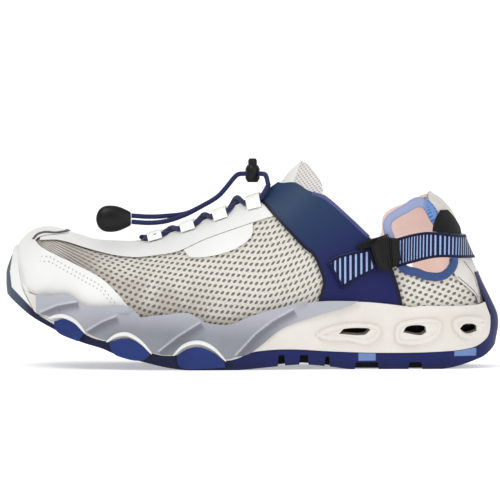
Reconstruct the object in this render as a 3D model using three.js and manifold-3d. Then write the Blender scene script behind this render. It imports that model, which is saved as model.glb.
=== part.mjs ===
// A left water shoe: a drained foam sole under a thin, cut-away upper with a heel strap.
// Toe towards -X, lateral side towards -Y, +Z up, millimetres.
import * as THREE from 'three';
import { mergeVertices } from 'three/addons/utils/BufferGeometryUtils.js';
import Module from 'manifold-3d';

const wasm = await Module();
wasm.setup();

// Driving dimensions in millimetres
const shoeLength = 290; // toe bumper to heel guard
const ballWidth = 93; // upper across the ball of the foot
const footbedHeight = 25; // footbed above the floor, under the heel
const upperHeight = 77.5; // heel tab above the footbed
const tuckHeight = 12; // widest line of the last above the footbed
const lastDepth = 8; // rounded underside of the last below the footbed
const toeRadius = 42; // plan rounding of the toe
const heelRadius = 34; // plan rounding of the heel
const toeBoxRadius = 14; // side rounding of the toe box
const heelTopRadius = 10; // side rounding low on the heel
const toeRand = 4.3; // bumper thickness in front of the last
const heelCup = 9.4; // sole behind the last
const soleMargin = 3.6; // sole rim beside the last
const upperWall = 2; // fabric, foam and lining together
const fit = 0.3; // clearance where curved pieces meet
const overlayThickness = 1.2; // toe cap, saddles and other films
const guardThickness = 2.2; // moulded side guard
const frameStep = 1.2; // raised rim round a drain port
const insoleThickness = 4;
const tongueThickness = 4;
const throatHalfWidth = 10; // half the slot that the lace crosses
const ringWidth = 5; // roll round a side cut-out
const labelThickness = 1.6;
const strapThickness = 1.5;
const buckleThickness = 6.5;
const buckleRidge = 1.2;
const laceDiameter = 2.8;
const laceLift = 1.2; // lace above its loops, where it bows over the eyestay
const laceLoopWidth = 8.5;
const laceLoopLength = 7;
const laceLoopThickness = 1.2;
const laceLoopsPerSide = 4;
const cordSpacing = 3.6; // between the two cords that pass the lock
const lockRadius = 4.2;
const lockHeight = 10;
const buttonRadius = 2.6;
const buttonHeight = 4;
const stopLength = 20.5; // teardrop on the cord ends
const stopHeight = 15.6;
const stopWidth = 8;
const reach = 400; // longer than any piece, for through cuts

const endPower = 2.2; // how square the rounded ends are
const stations = 23; // sections along the last
const crownSteps = 12; // facets over the top of a section
const bottomSteps = 4; // facets under a section
const laceSides = 8;
const latheSides = 10;

const table = (columns, rows) =>
  rows.map((row) => Object.fromEntries(columns.map((column, i) => [column, row[i]])));

// The last. u: share of shoeLength from the toe. half and bend: half width and centre line,
// shares of ballWidth. bed: footbed, share of footbedHeight. widest: share of tuckHeight.
// top: crest above the heel footbed, share of upperHeight. power: squareness of the section.
const lastRows = table(['u', 'half', 'bend', 'bed', 'widest', 'top', 'power'], [
  [0.00, 0.380, 0.075, 2.00, 0.40, 0.610, 2.5],
  [0.05, 0.420, 0.070, 1.74, 0.80, 0.690, 2.5],
  [0.09, 0.450, 0.062, 1.50, 1.00, 0.722, 2.5],
  [0.14, 0.472, 0.050, 1.28, 1.00, 0.670, 2.4],
  [0.18, 0.486, 0.040, 1.14, 1.00, 0.625, 2.3],
  [0.22, 0.495, 0.028, 1.02, 1.00, 0.613, 2.2],
  [0.27, 0.500, 0.010, 0.90, 1.00, 0.615, 2.1],
  [0.33, 0.500, -0.008, 0.82, 1.00, 0.680, 2.0],
  [0.40, 0.482, -0.027, 0.78, 1.00, 0.783, 1.95],
  [0.47, 0.446, -0.045, 0.80, 1.00, 0.918, 1.9],
  [0.53, 0.406, -0.056, 0.86, 1.00, 1.040, 1.9],
  [0.60, 0.366, -0.055, 0.92, 1.00, 1.255, 2.0],
  [0.65, 0.348, -0.042, 0.96, 1.05, 1.440, 2.1],
  [0.70, 0.344, -0.026, 0.98, 1.10, 1.520, 2.2],
  [0.76, 0.345, -0.005, 1.00, 1.15, 1.500, 2.2],
  [0.80, 0.346, 0.000, 1.00, 1.20, 1.330, 2.2],
  [0.83, 0.346, 0.000, 1.00, 1.20, 1.135, 2.2],
  [0.857, 0.343, 0.000, 1.00, 1.20, 1.004, 2.3],
  [0.883, 0.340, 0.000, 1.00, 1.20, 0.932, 2.3],
  [0.905, 0.338, 0.000, 1.00, 1.20, 0.826, 2.3],
  [0.929, 0.336, 0.000, 1.00, 1.10, 0.600, 2.3],
  [0.947, 0.335, 0.000, 1.00, 1.00, 0.460, 2.3],
  [1.00, 0.335, 0.000, 1.00, 0.90, 0.200, 2.3],
]);

// The sole's wall. up: share of footbedHeight. side: share of soleMargin.
// front: share of toeRand. back: share of heelCup.
const soleRows = table(['up', 'side', 'front', 'back'], [
  [-0.30, 0.40, 0.50, 0.60],
  [0.58, 1.00, 0.70, 0.83],
  [0.98, 1.10, 0.75, 1.00],
  [1.25, 1.05, 0.80, 0.94],
  [1.57, 1.00, 0.80, 0.57],
  [2.20, 0.80, 1.00, -0.22],
  [2.82, 0.60, -0.25, -0.70],
  [3.10, 0.50, -0.90, -0.90],
]);

// Side outlines. u: share of shoeLength from the toe.
// On the sole up is a share of footbedHeight, on the upper it is a share of upperHeight
// above the heel footbed.
const sidePoint = ['u', 'up'];

const solePoint = ({ u, up }) => [(u - 0.5) * shoeLength, up * footbedHeight];
const upperPoint = ({ u, up }) => [(u - 0.5) * shoeLength, footbedHeight + up * upperHeight];
const onSole = (rows) => table(sidePoint, rows).map(solePoint);
const onUpper = (rows) => table(sidePoint, rows).map(upperPoint);

// A column of the last's table at any share of the length, by a cubic through its rows
function read(rows, column, u) {
  const end = rows.length - 2;
  const found = rows.findIndex((row) => row.u > u) - 1;
  const i = found < 0 ? end : Math.min(Math.max(found, 0), end);
  const slope = (k) => {
    const before = rows[Math.max(k - 1, 0)];
    const after = rows[Math.min(k + 1, rows.length - 1)];
    return (after[column] - before[column]) / (after.u - before.u);
  };
  const step = rows[i + 1].u - rows[i].u;
  const t = (u - rows[i].u) / step;
  const rise = t * t * (3 - 2 * t);
  return rows[i][column] * (1 - rise) + rows[i + 1][column] * rise
    + step * slope(i) * t * (1 - t) ** 2 - step * slope(i + 1) * t * t * (1 - t);
}

// 0 at an end, 1 from one radius inwards, along a superellipse
function rounded(distance, radius) {
  const left = 1 - Math.min(Math.max(distance / radius, 0), 1);
  return (1 - left ** endPower) ** (1 / endPower);
}

const lastToe = toeRand - shoeLength / 2;
const lastHeel = shoeLength / 2 - heelCup;

// The section of the last at x
function sectionAt(x) {
  const u = x / shoeLength + 0.5;
  const bed = read(lastRows, 'bed', u) * footbedHeight;
  const widest = bed + read(lastRows, 'widest', u) * tuckHeight;
  const crest = footbedHeight + read(lastRows, 'top', u) * upperHeight;
  const inPlan = rounded(x - lastToe, toeRadius) * rounded(lastHeel - x, heelRadius);
  const inSide = rounded(x - lastToe, toeBoxRadius) * rounded(lastHeel - x, heelTopRadius);
  return {
    bed,
    widest,
    centre: read(lastRows, 'bend', u) * ballWidth,
    half: read(lastRows, 'half', u) * ballWidth * inPlan,
    rise: (crest - widest) * inSide,
    drop: (widest - bed + lastDepth) * inSide,
    power: read(lastRows, 'power', u),
  };
}

// Height of the last's surface over a point in plan
function crownHeight(x, y) {
  const section = sectionAt(x);
  const across = Math.min(Math.abs(y - section.centre) / section.half, 1);
  return section.widest + section.rise * (1 - across ** section.power) ** (1 / section.power);
}

// A closed loft through rings of points, with its end caps given as triangles
function closedLoft(rings, extraPoints, capTriangles) {
  const count = rings[0].length;
  const points = [...rings.flat(), ...extraPoints];
  const triangles = [...capTriangles];
  for (let ring = 0; ring + 1 < rings.length; ring++) {
    for (let j = 0; j < count; j++) {
      const a = ring * count + j;
      const b = ring * count + (j + 1) % count;
      triangles.push([a, b, b + count], [a, b + count, a + count]);
    }
  }
  const geometry = new THREE.BufferGeometry();
  geometry.setAttribute('position', new THREE.Float32BufferAttribute(points.flat(), 3));
  geometry.setIndex(triangles.flat());
  geometry.computeVertexNormals();
  return geometry;
}

const sectionPower = (value, power) => Math.sign(value) * Math.abs(value) ** (2 / power);

// The last as a closed surface from pole to pole
function lastSurface() {
  const angles = [];
  for (let j = 0; j < crownSteps; j++) angles.push(Math.PI * j / crownSteps);
  for (let j = 0; j < bottomSteps; j++) angles.push(Math.PI * (1 + j / bottomSteps));
  const rings = [];
  for (let i = 1; i < stations; i++) {
    const share = i / stations;
    const eased = share - 0.75 * Math.sin(2 * Math.PI * share) / (2 * Math.PI);
    const x = lastToe + (lastHeel - lastToe) * eased;
    const section = sectionAt(x);
    rings.push(angles.map((angle) => {
      const up = sectionPower(Math.sin(angle), section.power);
      const across = sectionPower(Math.cos(angle), section.power);
      return [x, section.centre + section.half * across,
        section.widest + up * (up > 0 ? section.rise : section.drop)];
    }));
  }
  const count = angles.length;
  const toePole = rings.length * count;
  const tip = sectionAt(lastToe);
  const back = sectionAt(lastHeel);
  const caps = angles.flatMap((angle, j) => {
    const next = (j + 1) % count;
    const base = (rings.length - 1) * count;
    return [[toePole, next, j], [toePole + 1, base + j, base + next]];
  });
  return closedLoft(rings, [[lastToe, tip.centre, tip.widest], [lastHeel, back.centre, back.widest]], caps);
}

// The sole's wall as stacked plan outlines, each the last's outline moved outwards
function soleSurface() {
  const steps = 17;
  const outline = [];
  for (let i = 0; i <= steps; i++) {
    const share = i / steps;
    const eased = share - 0.75 * Math.sin(2 * Math.PI * share) / (2 * Math.PI);
    const x = lastToe + (lastHeel - lastToe) * eased;
    const section = sectionAt(x);
    outline.push({ x, medial: section.centre + section.half, lateral: section.centre - section.half });
  }
  const loop = [
    ...outline.map(({ x, lateral }) => [x, lateral]),
    ...outline.slice(1, -1).reverse().map(({ x, medial }) => [x, medial]),
  ];
  const count = loop.length;
  const normals = loop.map((point, i) => {
    const before = loop[(i + count - 1) % count];
    const after = loop[(i + 1) % count];
    const length = Math.hypot(after[0] - before[0], after[1] - before[1]);
    return [(after[1] - before[1]) / length, (before[0] - after[0]) / length];
  });
  const rings = soleRows.map(({ up, side, front, back }) => loop.map(([x, y], i) => {
    const [nx, ny] = normals[i];
    const along = nx < 0 ? toeRand * front : heelCup * back;
    return [x + nx * along, y + ny * soleMargin * side, up * footbedHeight];
  }));
  const top = (rings.length - 1) * count;
  const caps = [];
  for (let i = 0; i < steps; i++) {
    const near = [i, i + 1];
    const far = [(count - i) % count, (count - i - 1) % count];
    const quad = [near[0], near[1], far[1], far[0]];
    for (const [a, b, c] of [[0, 1, 2], [0, 2, 3]]) {
      const corners = [quad[a], quad[b], quad[c]];
      if (new Set(corners).size < 3) continue;
      caps.push([corners[0], corners[2], corners[1]]);
      caps.push(corners.map((corner) => corner + top));
    }
  }
  return closedLoft(rings, [], caps);
}

// A manifold solid from a closed surface, moved outwards along its vertex normals
function toSolid(geometry, grow = 0) {
  const { position, normal } = geometry.attributes;
  const vertProperties = new Float32Array(position.count * 3);
  for (let i = 0; i < position.count; i++) {
    for (let axis = 0; axis < 3; axis++) {
      const moved = grow ? grow * normal.array[3 * i + axis] : 0;
      vertProperties[3 * i + axis] = position.array[3 * i + axis] + moved;
    }
  }
  const triVerts = Uint32Array.from(geometry.index.array);
  return new wasm.Manifold(new wasm.Mesh({ numProp: 3, vertProperties, triVerts }));
}

const lastGeometry = lastSurface();
const soleGeometry = soleSurface();
const lastForm = (grow) => toSolid(lastGeometry, grow);
const soleForm = (grow) => toSolid(soleGeometry, grow);

// A manifold solid from a closed three.js geometry
function solidOf(geometry) {
  geometry.deleteAttribute('normal');
  geometry.deleteAttribute('uv');
  return toSolid(mergeVertices(geometry));
}

const shapeOf = (points) => new THREE.Shape(points.map(([x, y]) => new THREE.Vector2(x, y)));

// A side outline pressed across the shoe, from one y to another
function sidePrism(points, from = -reach / 2, to = reach / 2) {
  const geometry = new THREE.ExtrudeGeometry(shapeOf(points), { depth: to - from, bevelEnabled: false });
  geometry.rotateX(Math.PI / 2);
  geometry.translate(0, to, 0);
  return solidOf(geometry);
}

// A plan outline pressed upwards, from one z to another
function planPrism(points, from, to) {
  const geometry = new THREE.ExtrudeGeometry(shapeOf(points), { depth: to - from, bevelEnabled: false });
  geometry.translate(0, 0, from);
  return solidOf(geometry);
}

// An outline moved outwards by a distance, with mitred corners
function grown(points, distance) {
  const turn = Math.sign(THREE.ShapeUtils.area(shapeOf(points).getPoints()));
  const edgeNormal = ([x1, y1], [x2, y2]) => {
    const length = Math.hypot(x2 - x1, y2 - y1);
    return [turn * (y2 - y1) / length, turn * (x1 - x2) / length];
  };
  return points.map((point, i) => {
    const [ax, ay] = edgeNormal(points[(i + points.length - 1) % points.length], point);
    const [bx, by] = edgeNormal(point, points[(i + 1) % points.length]);
    const mitre = distance / (1 + ax * bx + ay * by);
    return [point[0] + mitre * (ax + bx), point[1] + mitre * (ay + by)];
  });
}

const lateral = { from: -reach / 2, to: 0 };
const medial = { from: 0, to: reach / 2 };
const both = { from: -reach / 2, to: reach / 2 };

// What lies between two growths of the last, inside a side outline
function panel(outline, inner, outer, side = both) {
  const skin = lastForm(outer).subtract(lastForm(inner));
  return skin.intersect(sidePrism(outline, side.from, side.to));
}

// Everything above a line that runs from toe to heel
function above(line, clearance) {
  const [first] = line;
  const last = line[line.length - 1];
  const raised = line.map(([x, z]) => [x, z + clearance]);
  return sidePrism([[-reach, first[1] + clearance], ...raised, [reach, last[1] + clearance],
    [reach, reach], [-reach, reach]]);
}

const bedLine = [];
for (let i = 0; i <= stations; i++) {
  const x = lastToe + (lastHeel - lastToe) * i / stations;
  bedLine.push([x, sectionAt(x).bed]);
}

// Top edge of the midsole's cup
const rimLine = onSole([
  [0.000, 1.98], [0.030, 1.86], [0.067, 1.70], [0.095, 1.60], [0.124, 1.58], [0.152, 1.47],
  [0.200, 1.40], [0.252, 1.36], [0.275, 1.15], [0.328, 1.18], [0.371, 1.22], [0.411, 1.02],
  [0.456, 1.00], [0.493, 1.13], [0.564, 1.36], [0.593, 1.45], [0.638, 1.52], [0.715, 1.57],
  [0.771, 1.52], [0.820, 1.45], [0.840, 1.47], [0.950, 1.48], [0.977, 1.56], [1.000, 1.60],
]);

// Where rubber and foam meet on the sole's side
const outsoleTop = onSole([
  [0.062, 1.32], [0.103, 1.11], [0.126, 1.16], [0.154, 1.00], [0.168, 0.80], [0.212, 0.65],
  [0.248, 0.72], [0.299, 0.39], [0.346, 0.33], [0.393, 0.52], [0.444, 0.22], [0.471, 0.26],
  [0.495, 0.39], [0.544, 0.46], [0.593, 0.46], [0.658, 0.41], [0.756, 0.37], [0.868, 0.39],
  [0.944, 0.48], [0.974, 0.69], [0.981, 0.93], [0.981, 1.30],
]);
// Front face of the heel guard, up from the end of outsoleTop
const guardFace = onSole([[0.971, 1.57], [0.950, 2.24]]);
// Rear face of the toe bumper, down to the start of outsoleTop
const bumperFace = onSole([[0.022, 2.84], [0.030, 2.20], [0.036, 1.86], [0.050, 1.56]]);

const groundLine = onSole([
  [0.005, 1.70], [0.012, 1.62], [0.054, 1.24], [0.095, 0.98], [0.154, 0.66], [0.199, 0.50],
  [0.232, 0.34], [0.279, 0.20], [0.330, 0.06], [0.375, 0.00], [0.470, 0.00], [0.530, 0.06],
  [0.600, 0.12], [0.660, 0.06], [0.700, 0.00], [0.883, 0.00], [0.962, 0.25], [0.984, 0.43],
  [0.997, 0.62],
]);

// Grooves across the underside: from and to along the shoe, up to a height
const grooves = table(['from', 'to', 'up'], [
  [0.168, 0.206, 0.66], [0.305, 0.340, 0.21], [0.462, 0.478, 0.16],
  [0.550, 0.568, 0.34], [0.593, 0.615, 0.34], [0.644, 0.658, 0.30],
  [0.705, 0.756, 0.16], [0.813, 0.844, 0.16],
]);

function outsole() {
  const outline = [...groundLine, ...onSole([[1.02, 0.90], [1.02, 2.24]]), ...guardFace.slice().reverse(),
    ...outsoleTop.slice().reverse(), ...bumperFace.slice().reverse(), ...onSole([[-0.02, 2.84], [-0.02, 1.70]])];
  let body = soleForm(0).intersect(sidePrism(outline));
  for (const { from, to, up } of grooves) {
    const [[near], [far, height]] = onSole([[from, up], [to, up]]);
    body = body.subtract(sidePrism([[near, -1], [far, -1], [far - 1, height], [near + 1, height]]));
  }
  return body.subtract(lastForm(2 * fit + overlayThickness));
}

const portFrames = [
  [[0.630, 0.77], [0.658, 1.01], [0.724, 1.09], [0.760, 0.93], [0.736, 0.58], [0.691, 0.66]],
  [[0.786, 0.84], [0.797, 1.09], [0.868, 1.19], [0.883, 1.00], [0.859, 0.64], [0.795, 0.58]],
  [[0.905, 1.15], [0.955, 1.22], [0.970, 1.10], [0.950, 0.71], [0.917, 0.76]],
].map(onSole);
const portHoles = [
  [[0.674, 0.83], [0.688, 0.97], [0.728, 0.99], [0.738, 0.92], [0.724, 0.80]],
  [[0.803, 0.86], [0.812, 1.00], [0.846, 1.01], [0.850, 0.86], [0.838, 0.79]],
  [[0.917, 0.93], [0.928, 1.05], [0.950, 1.02], [0.952, 0.88], [0.932, 0.82]],
].map(onSole);

function midsole() {
  const floor = outsoleTop.map(([x, z]) => [x, z + fit]);
  const front = bumperFace.slice(1).map(([x, z]) => [x + fit, z + fit]);
  const back = guardFace.map(([x, z]) => [x - fit, z]);
  const outline = [...front, ...floor.slice(0, -1), ...back.slice(0, 1), ...onSole([[0.965, 3.2], [0.03, 3.2]])];
  let body = soleForm(0).intersect(sidePrism(outline)).subtract(above(rimLine, 0));
  for (const frame of portFrames) {
    body = body.add(soleForm(frameStep).intersect(sidePrism(frame)));
  }
  const foot = lastForm(fit).intersect(above(bedLine, 0));
  for (const hole of portHoles) body = body.subtract(sidePrism(hole));
  return body.subtract(foot);
}

const guardOutline = onSole([
  [0.066, 1.30], [0.065, 1.76], [0.089, 1.72], [0.124, 1.77], [0.137, 1.72], [0.152, 1.57],
  [0.173, 1.48], [0.252, 1.48], [0.275, 1.24], [0.289, 1.25], [0.328, 1.30], [0.371, 1.34],
  [0.393, 1.21], [0.411, 1.10], [0.456, 1.07], [0.493, 1.24], [0.564, 1.47], [0.638, 1.59],
  [0.713, 1.59], [0.703, 1.52], [0.619, 1.22], [0.560, 0.96], [0.516, 0.56], [0.492, 0.37],
  [0.467, 0.31], [0.447, 0.27], [0.420, 0.50], [0.394, 0.66], [0.368, 0.56], [0.340, 0.36],
  [0.303, 0.42], [0.280, 0.66], [0.252, 0.84], [0.230, 0.82], [0.211, 0.70], [0.169, 0.87],
  [0.152, 1.12], [0.126, 1.26], [0.100, 1.23],
]);

function sideGuard(side) {
  const skin = soleForm(fit + guardThickness).subtract(soleForm(fit + frameStep / 4));
  return skin.intersect(sidePrism(guardOutline, side.from, side.to));
}

function insole() {
  const cavity = lastForm(-upperWall - fit);
  return cavity.intersect(above(bedLine, fit)).subtract(above(bedLine, fit + insoleThickness));
}

// Collar: the outline of what is open above the shoe
const opening = onUpper([
  [0.500, 2.50], [0.515, 1.22], [0.535, 1.085], [0.560, 1.075], [0.579, 1.081], [0.591, 1.073],
  [0.613, 1.020], [0.648, 0.971], [0.740, 0.653], [0.757, 0.628], [0.765, 0.672], [0.768, 0.802],
  [0.783, 0.863], [0.813, 0.911], [0.844, 0.971], [0.857, 0.995], [0.870, 1.060], [0.900, 2.50],
]);

// The side cut-outs, and the rolls round them
const lateralHole = onUpper([
  [0.785, 0.690], [0.780, 0.756], [0.787, 0.795], [0.807, 0.837], [0.839, 0.891], [0.860, 0.785],
  [0.897, 0.504], [0.883, 0.412], [0.854, 0.407], [0.835, 0.433], [0.808, 0.468],
]);
const medialHole = onUpper([
  [0.752, 0.488], [0.781, 0.550], [0.809, 0.511], [0.828, 0.458], [0.824, 0.374], [0.801, 0.320],
  [0.768, 0.335], [0.750, 0.404],
]);
const lateralRing = grown(lateralHole, ringWidth);
const medialRing = grown(medialHole, ringWidth);

const alongShoe = (u) => (u - 0.5) * shoeLength;

// Half width of the slot that the lace crosses, wider towards the ankle
const slotHalf = (u) => throatHalfWidth * (0.5 + 1.1 * u);

// The slot, round at its toe end
function throatSlot() {
  const edge = (side) => [0.275, 0.33, 0.40, 0.47, 0.53, 0.62].map((u) =>
    [alongShoe(u), sectionAt(alongShoe(u)).centre + side * slotHalf(u)]);
  const tip = alongShoe(0.258);
  const outline = [...edge(-1), ...edge(1).reverse(), [tip, sectionAt(tip).centre]];
  return planPrism(outline, footbedHeight + tuckHeight, reach);
}

function upper() {
  return lastForm(0).subtract(lastForm(-upperWall))
    .intersect(above(bedLine, fit))
    .subtract(sidePrism(opening))
    .subtract(throatSlot())
    .subtract(sidePrism(lateralHole, lateral.from, lateral.to))
    .subtract(sidePrism(medialHole, medial.from, medial.to));
}

const tongueOutline = onUpper([
  [0.240, 0.45], [0.240, 2.50], [0.590, 2.50], [0.596, 1.245], [0.612, 1.215], [0.628, 1.154],
  [0.642, 1.055], [0.641, 0.950], [0.640, 0.760], [0.530, 0.700], [0.400, 0.500], [0.300, 0.360],
]);

function tongue() {
  const outer = -upperWall - fit;
  return panel(tongueOutline, outer - tongueThickness, outer);
}

const toeCapOutline = onUpper([
  [-0.050, 1.30], [0.122, 1.30], [0.126, 0.695], [0.104, 0.688], [0.083, 0.680], [0.068, 0.662],
  [0.062, 0.642], [0.072, 0.602], [0.092, 0.559], [0.148, 0.461], [0.197, 0.364], [0.229, 0.254],
  [0.255, 0.144], [0.277, 0.071], [0.290, -0.20], [-0.050, -0.20],
]);
const saddleOutline = onUpper([
  [0.509, 1.50], [0.511, 0.978], [0.528, 0.900], [0.546, 0.821], [0.573, 0.710], [0.604, 0.588],
  [0.622, 0.534], [0.635, 0.427], [0.642, 0.339], [0.638, 0.254], [0.633, 0.187], [0.625, -0.10],
  [0.806, -0.10], [0.803, 0.152], [0.785, 0.408], [0.768, 0.560], [0.765, 1.50],
]);
const eyestayOutline = onUpper([
  [0.072, 1.50], [0.072, 0.645], [0.112, 0.645], [0.172, 0.580], [0.219, 0.537], [0.266, 0.519],
  [0.313, 0.537], [0.352, 0.565], [0.407, 0.657], [0.497, 0.775], [0.542, 0.829], [0.520, 1.50],
]);
const counterOutline = onUpper([
  [0.856, 1.40], [0.858, 0.900], [0.885, 0.620], [0.900, 0.481], [0.911, 0.368], [0.942, 0.260],
  [0.955, 0.198], [0.965, -0.10], [1.050, -0.10], [1.050, 1.40],
]);
const labelOutline = onUpper([
  [0.362, 0.573], [0.407, 0.670], [0.502, 0.790], [0.497, 0.668], [0.450, 0.560], [0.379, 0.519],
]);

// A film on the upper, kept off the sole's rim, the collar and the throat
function overlay(outline, side, trims = []) {
  let film = panel(outline, fit, fit + overlayThickness, side)
    .intersect(above(rimLine, fit))
    .subtract(sidePrism(opening))
    .subtract(throatSlot());
  for (const trim of trims) film = film.subtract(sidePrism(grown(trim, fit), side.from, side.to));
  return film;
}

function ring(outline, hole, side) {
  return overlay(outline, side).subtract(sidePrism(hole, side.from, side.to));
}

// The counter wraps the heel, so only its lateral half makes room for the lateral roll
function heelCounter() {
  return overlay(counterOutline, both)
    .subtract(sidePrism(grown(lateralRing, fit), lateral.from, lateral.to));
}

function sideLabel() {
  return panel(labelOutline, fit, fit + labelThickness, lateral)
    .subtract(sidePrism(grown(eyestayOutline, fit)));
}

// The strap lies on the overlays
const strapInner = 2 * fit + overlayThickness;
const strapOuter = strapInner + strapThickness;
const strapFrontOutline = onUpper([
  [0.651, 0.481], [0.673, 0.530], [0.737, 0.585], [0.751, 0.427], [0.702, 0.336], [0.681, 0.282],
]);
const strapRearTop = [[0.7955, 0.664], [0.826, 0.695], [0.858, 0.708], [0.921, 0.684], [1.050, 0.660]];
const strapRearBottom = [[1.050, 0.490], [0.927, 0.510], [0.870, 0.515], [0.820, 0.473], [0.8005, 0.450]];
const strapRearOutline = onUpper([...strapRearTop, ...strapRearBottom]);
const strapMedialOutline = onUpper([
  [0.666, 0.530], [0.742, 0.600], ...strapRearTop, ...strapRearBottom, [0.751, 0.405], [0.684, 0.340],
]);

function strapFront() {
  return panel(strapFrontOutline, strapInner, strapOuter, lateral);
}

function strapRear() {
  const skin = lastForm(strapOuter).subtract(lastForm(strapInner));
  const lateralBand = sidePrism(strapRearOutline, lateral.from, lateral.to);
  const medialBand = sidePrism(strapMedialOutline, medial.from, medial.to);
  return skin.intersect(lateralBand.add(medialBand));
}

const heelTabOutline = onUpper([
  [0.861, 0.770], [0.866, 0.845], [0.878, 0.885], [0.890, 0.872], [0.902, 0.790], [0.915, 0.600], [0.861, 0.600],
]);

// A webbing tab sewn to the counter, over the strap
function heelTab(side) {
  const room = sidePrism(grown(strapRearOutline, fit));
  return panel(heelTabOutline, strapInner, strapInner + overlayThickness, side).subtract(room);
}

const socketOutline = onUpper([
  [0.738, 0.606], [0.756, 0.668], [0.775, 0.670], [0.777, 0.426], [0.762, 0.414], [0.752, 0.445],
]);
const plugOutline = onUpper([
  [0.7762, 0.666], [0.794, 0.660], [0.799, 0.498], [0.787, 0.448], [0.7782, 0.434],
]);

function buckleHalf(outline, thickness) {
  const body = panel(outline, strapInner, strapInner + thickness, lateral);
  const ridge = panel(grown(outline, -buckleRidge), strapInner, strapInner + thickness + buckleRidge, lateral);
  return body.add(ridge);
}

// Lace loops: webbing tabs on the eyestay, beside the slot
const loopPlaces = Array.from({ length: laceLoopsPerSide }, (_, i) => 0.307 + 0.200 * i / (laceLoopsPerSide - 1));
const loopBase = 2 * fit + overlayThickness;

function laceLoop(u, side) {
  const x = alongShoe(u);
  const near = sectionAt(x).centre + side * (slotHalf(u) + 1);
  const far = near + side * laceLoopLength;
  const half = laceLoopWidth / 2;
  const patch = planPrism([[x - half, Math.min(near, far)], [x + half, Math.min(near, far)],
    [x + half, Math.max(near, far)], [x - half, Math.max(near, far)]], footbedHeight + tuckHeight, reach);
  return lastForm(loopBase + laceLoopThickness).subtract(lastForm(loopBase)).intersect(patch);
}

// A round cord through a few points
function cordAlong(points, steps) {
  const section = new THREE.Shape();
  section.absarc(0, 0, laceDiameter / 2, 0, 2 * Math.PI);
  const path = new THREE.CatmullRomCurve3(points.map((point) => new THREE.Vector3(...point)), false, 'centripetal');
  const geometry = new THREE.ExtrudeGeometry(section, { steps, curveSegments: laceSides / 2, extrudePath: path });
  return solidOf(geometry);
}

const overLoops = loopBase + laceLoopThickness + fit + laceDiameter / 2;

// A point over the inner edge of a loop's place, out from the upper along its normal
function lacePoint(u, side, out) {
  const x = alongShoe(u);
  const y = sectionAt(x).centre + side * (slotHalf(u) + 1);
  const slopeX = crownHeight(x + 0.5, y) - crownHeight(x - 0.5, y);
  const slopeY = crownHeight(x, y + 0.5) - crownHeight(x, y - 0.5);
  const scale = out / Math.hypot(slopeX, slopeY, 1);
  return [x - slopeX * scale, y - slopeY * scale, crownHeight(x, y) + scale];
}

function laceBars() {
  const points = loopPlaces.flatMap((u) => [-1, 1].map((side) => lacePoint(u, side, overLoops + laceLift)));
  return cordAlong(points, 3 * (points.length - 1));
}

// The lock, the cords that pass it and the stop on their ends
const lockPlace = [0.3, -5.2, 113.5];
const stopPlace = [-71.2, -5.2, 87.0];

function cordLock() {
  const half = lockHeight / 2;
  const profile = [[0, -half], [lockRadius * 0.7, -half], [lockRadius, -half * 0.6], [lockRadius, half * 0.6],
    [lockRadius * 0.75, half], [buttonRadius, half], [buttonRadius, half + buttonHeight * 0.7],
    [buttonRadius * 0.7, half + buttonHeight], [0, half + buttonHeight]];
  const geometry = new THREE.LatheGeometry(profile.map(([r, z]) => new THREE.Vector2(r, z)), latheSides);
  geometry.rotateX(Math.PI / 2);
  geometry.translate(...lockPlace);
  return solidOf(geometry);
}

function endStop() {
  const profile = table(['along', 'radius'], [
    [0.00, 0.00], [0.00, 0.44], [0.12, 0.66], [0.34, 0.91], [0.55, 1.00], [0.76, 0.95], [0.91, 0.69],
    [0.98, 0.33], [1.00, 0.00],
  ]).map(({ along, radius }) => new THREE.Vector2(radius * stopHeight / 2, along * stopLength));
  const geometry = new THREE.LatheGeometry(profile, latheSides);
  geometry.rotateZ(Math.PI / 2);
  geometry.scale(1, stopWidth / stopHeight, 1);
  geometry.translate(...stopPlace);
  return solidOf(geometry);
}

const [lockX, lockY, lockZ] = lockPlace;
const [stopX, stopY, stopZ] = stopPlace;

// The cords leave the lock side by side and end one above the other
function cordEnd(side) {
  const route = table(['x', 'z', 'turn'], [
    [lockX - lockRadius - fit, lockZ, 0], [-9, 112.6, 0], [-15, 105.6, 0], [-20.5, 99.8, 0], [-30, 94.2, 0],
    [-39, 89.8, 0.1], [-50, 87.2, 0.6], [-60, 86.4, 1], [stopX + fit, stopZ, 1],
  ]);
  return cordAlong(route.map(({ x, z, turn }) => {
    const apart = side * cordSpacing / 2;
    return [x, lockY + apart * Math.cos(turn * Math.PI / 2), z + apart * Math.sin(turn * Math.PI / 2)];
  }), 15);
}

function cordTop(side) {
  const [x, y, z] = lacePoint(0.541, side, overLoops);
  return cordAlong([
    [lockX + lockRadius + fit, lockY + side * cordSpacing / 2, lockZ],
    [lockX + lockRadius + 3.5, (lockY + y) / 2 + side, lockZ - 1],
    [x, y, z],
  ], 4);
}

function finish(solid, name, look) {
  const { vertProperties, triVerts, numProp } = solid.getMesh();
  const geometry = new THREE.BufferGeometry();
  const points = new Float32Array(vertProperties.length / numProp * 3);
  for (let i = 0; i < points.length / 3; i++) {
    for (let axis = 0; axis < 3; axis++) points[3 * i + axis] = vertProperties[i * numProp + axis];
  }
  geometry.setAttribute('position', new THREE.BufferAttribute(points, 3));
  geometry.setIndex(Array.from(triVerts));
  const mesh = new THREE.Mesh(geometry, new THREE.MeshStandardMaterial(look));
  mesh.name = name;
  return mesh;
}

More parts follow.
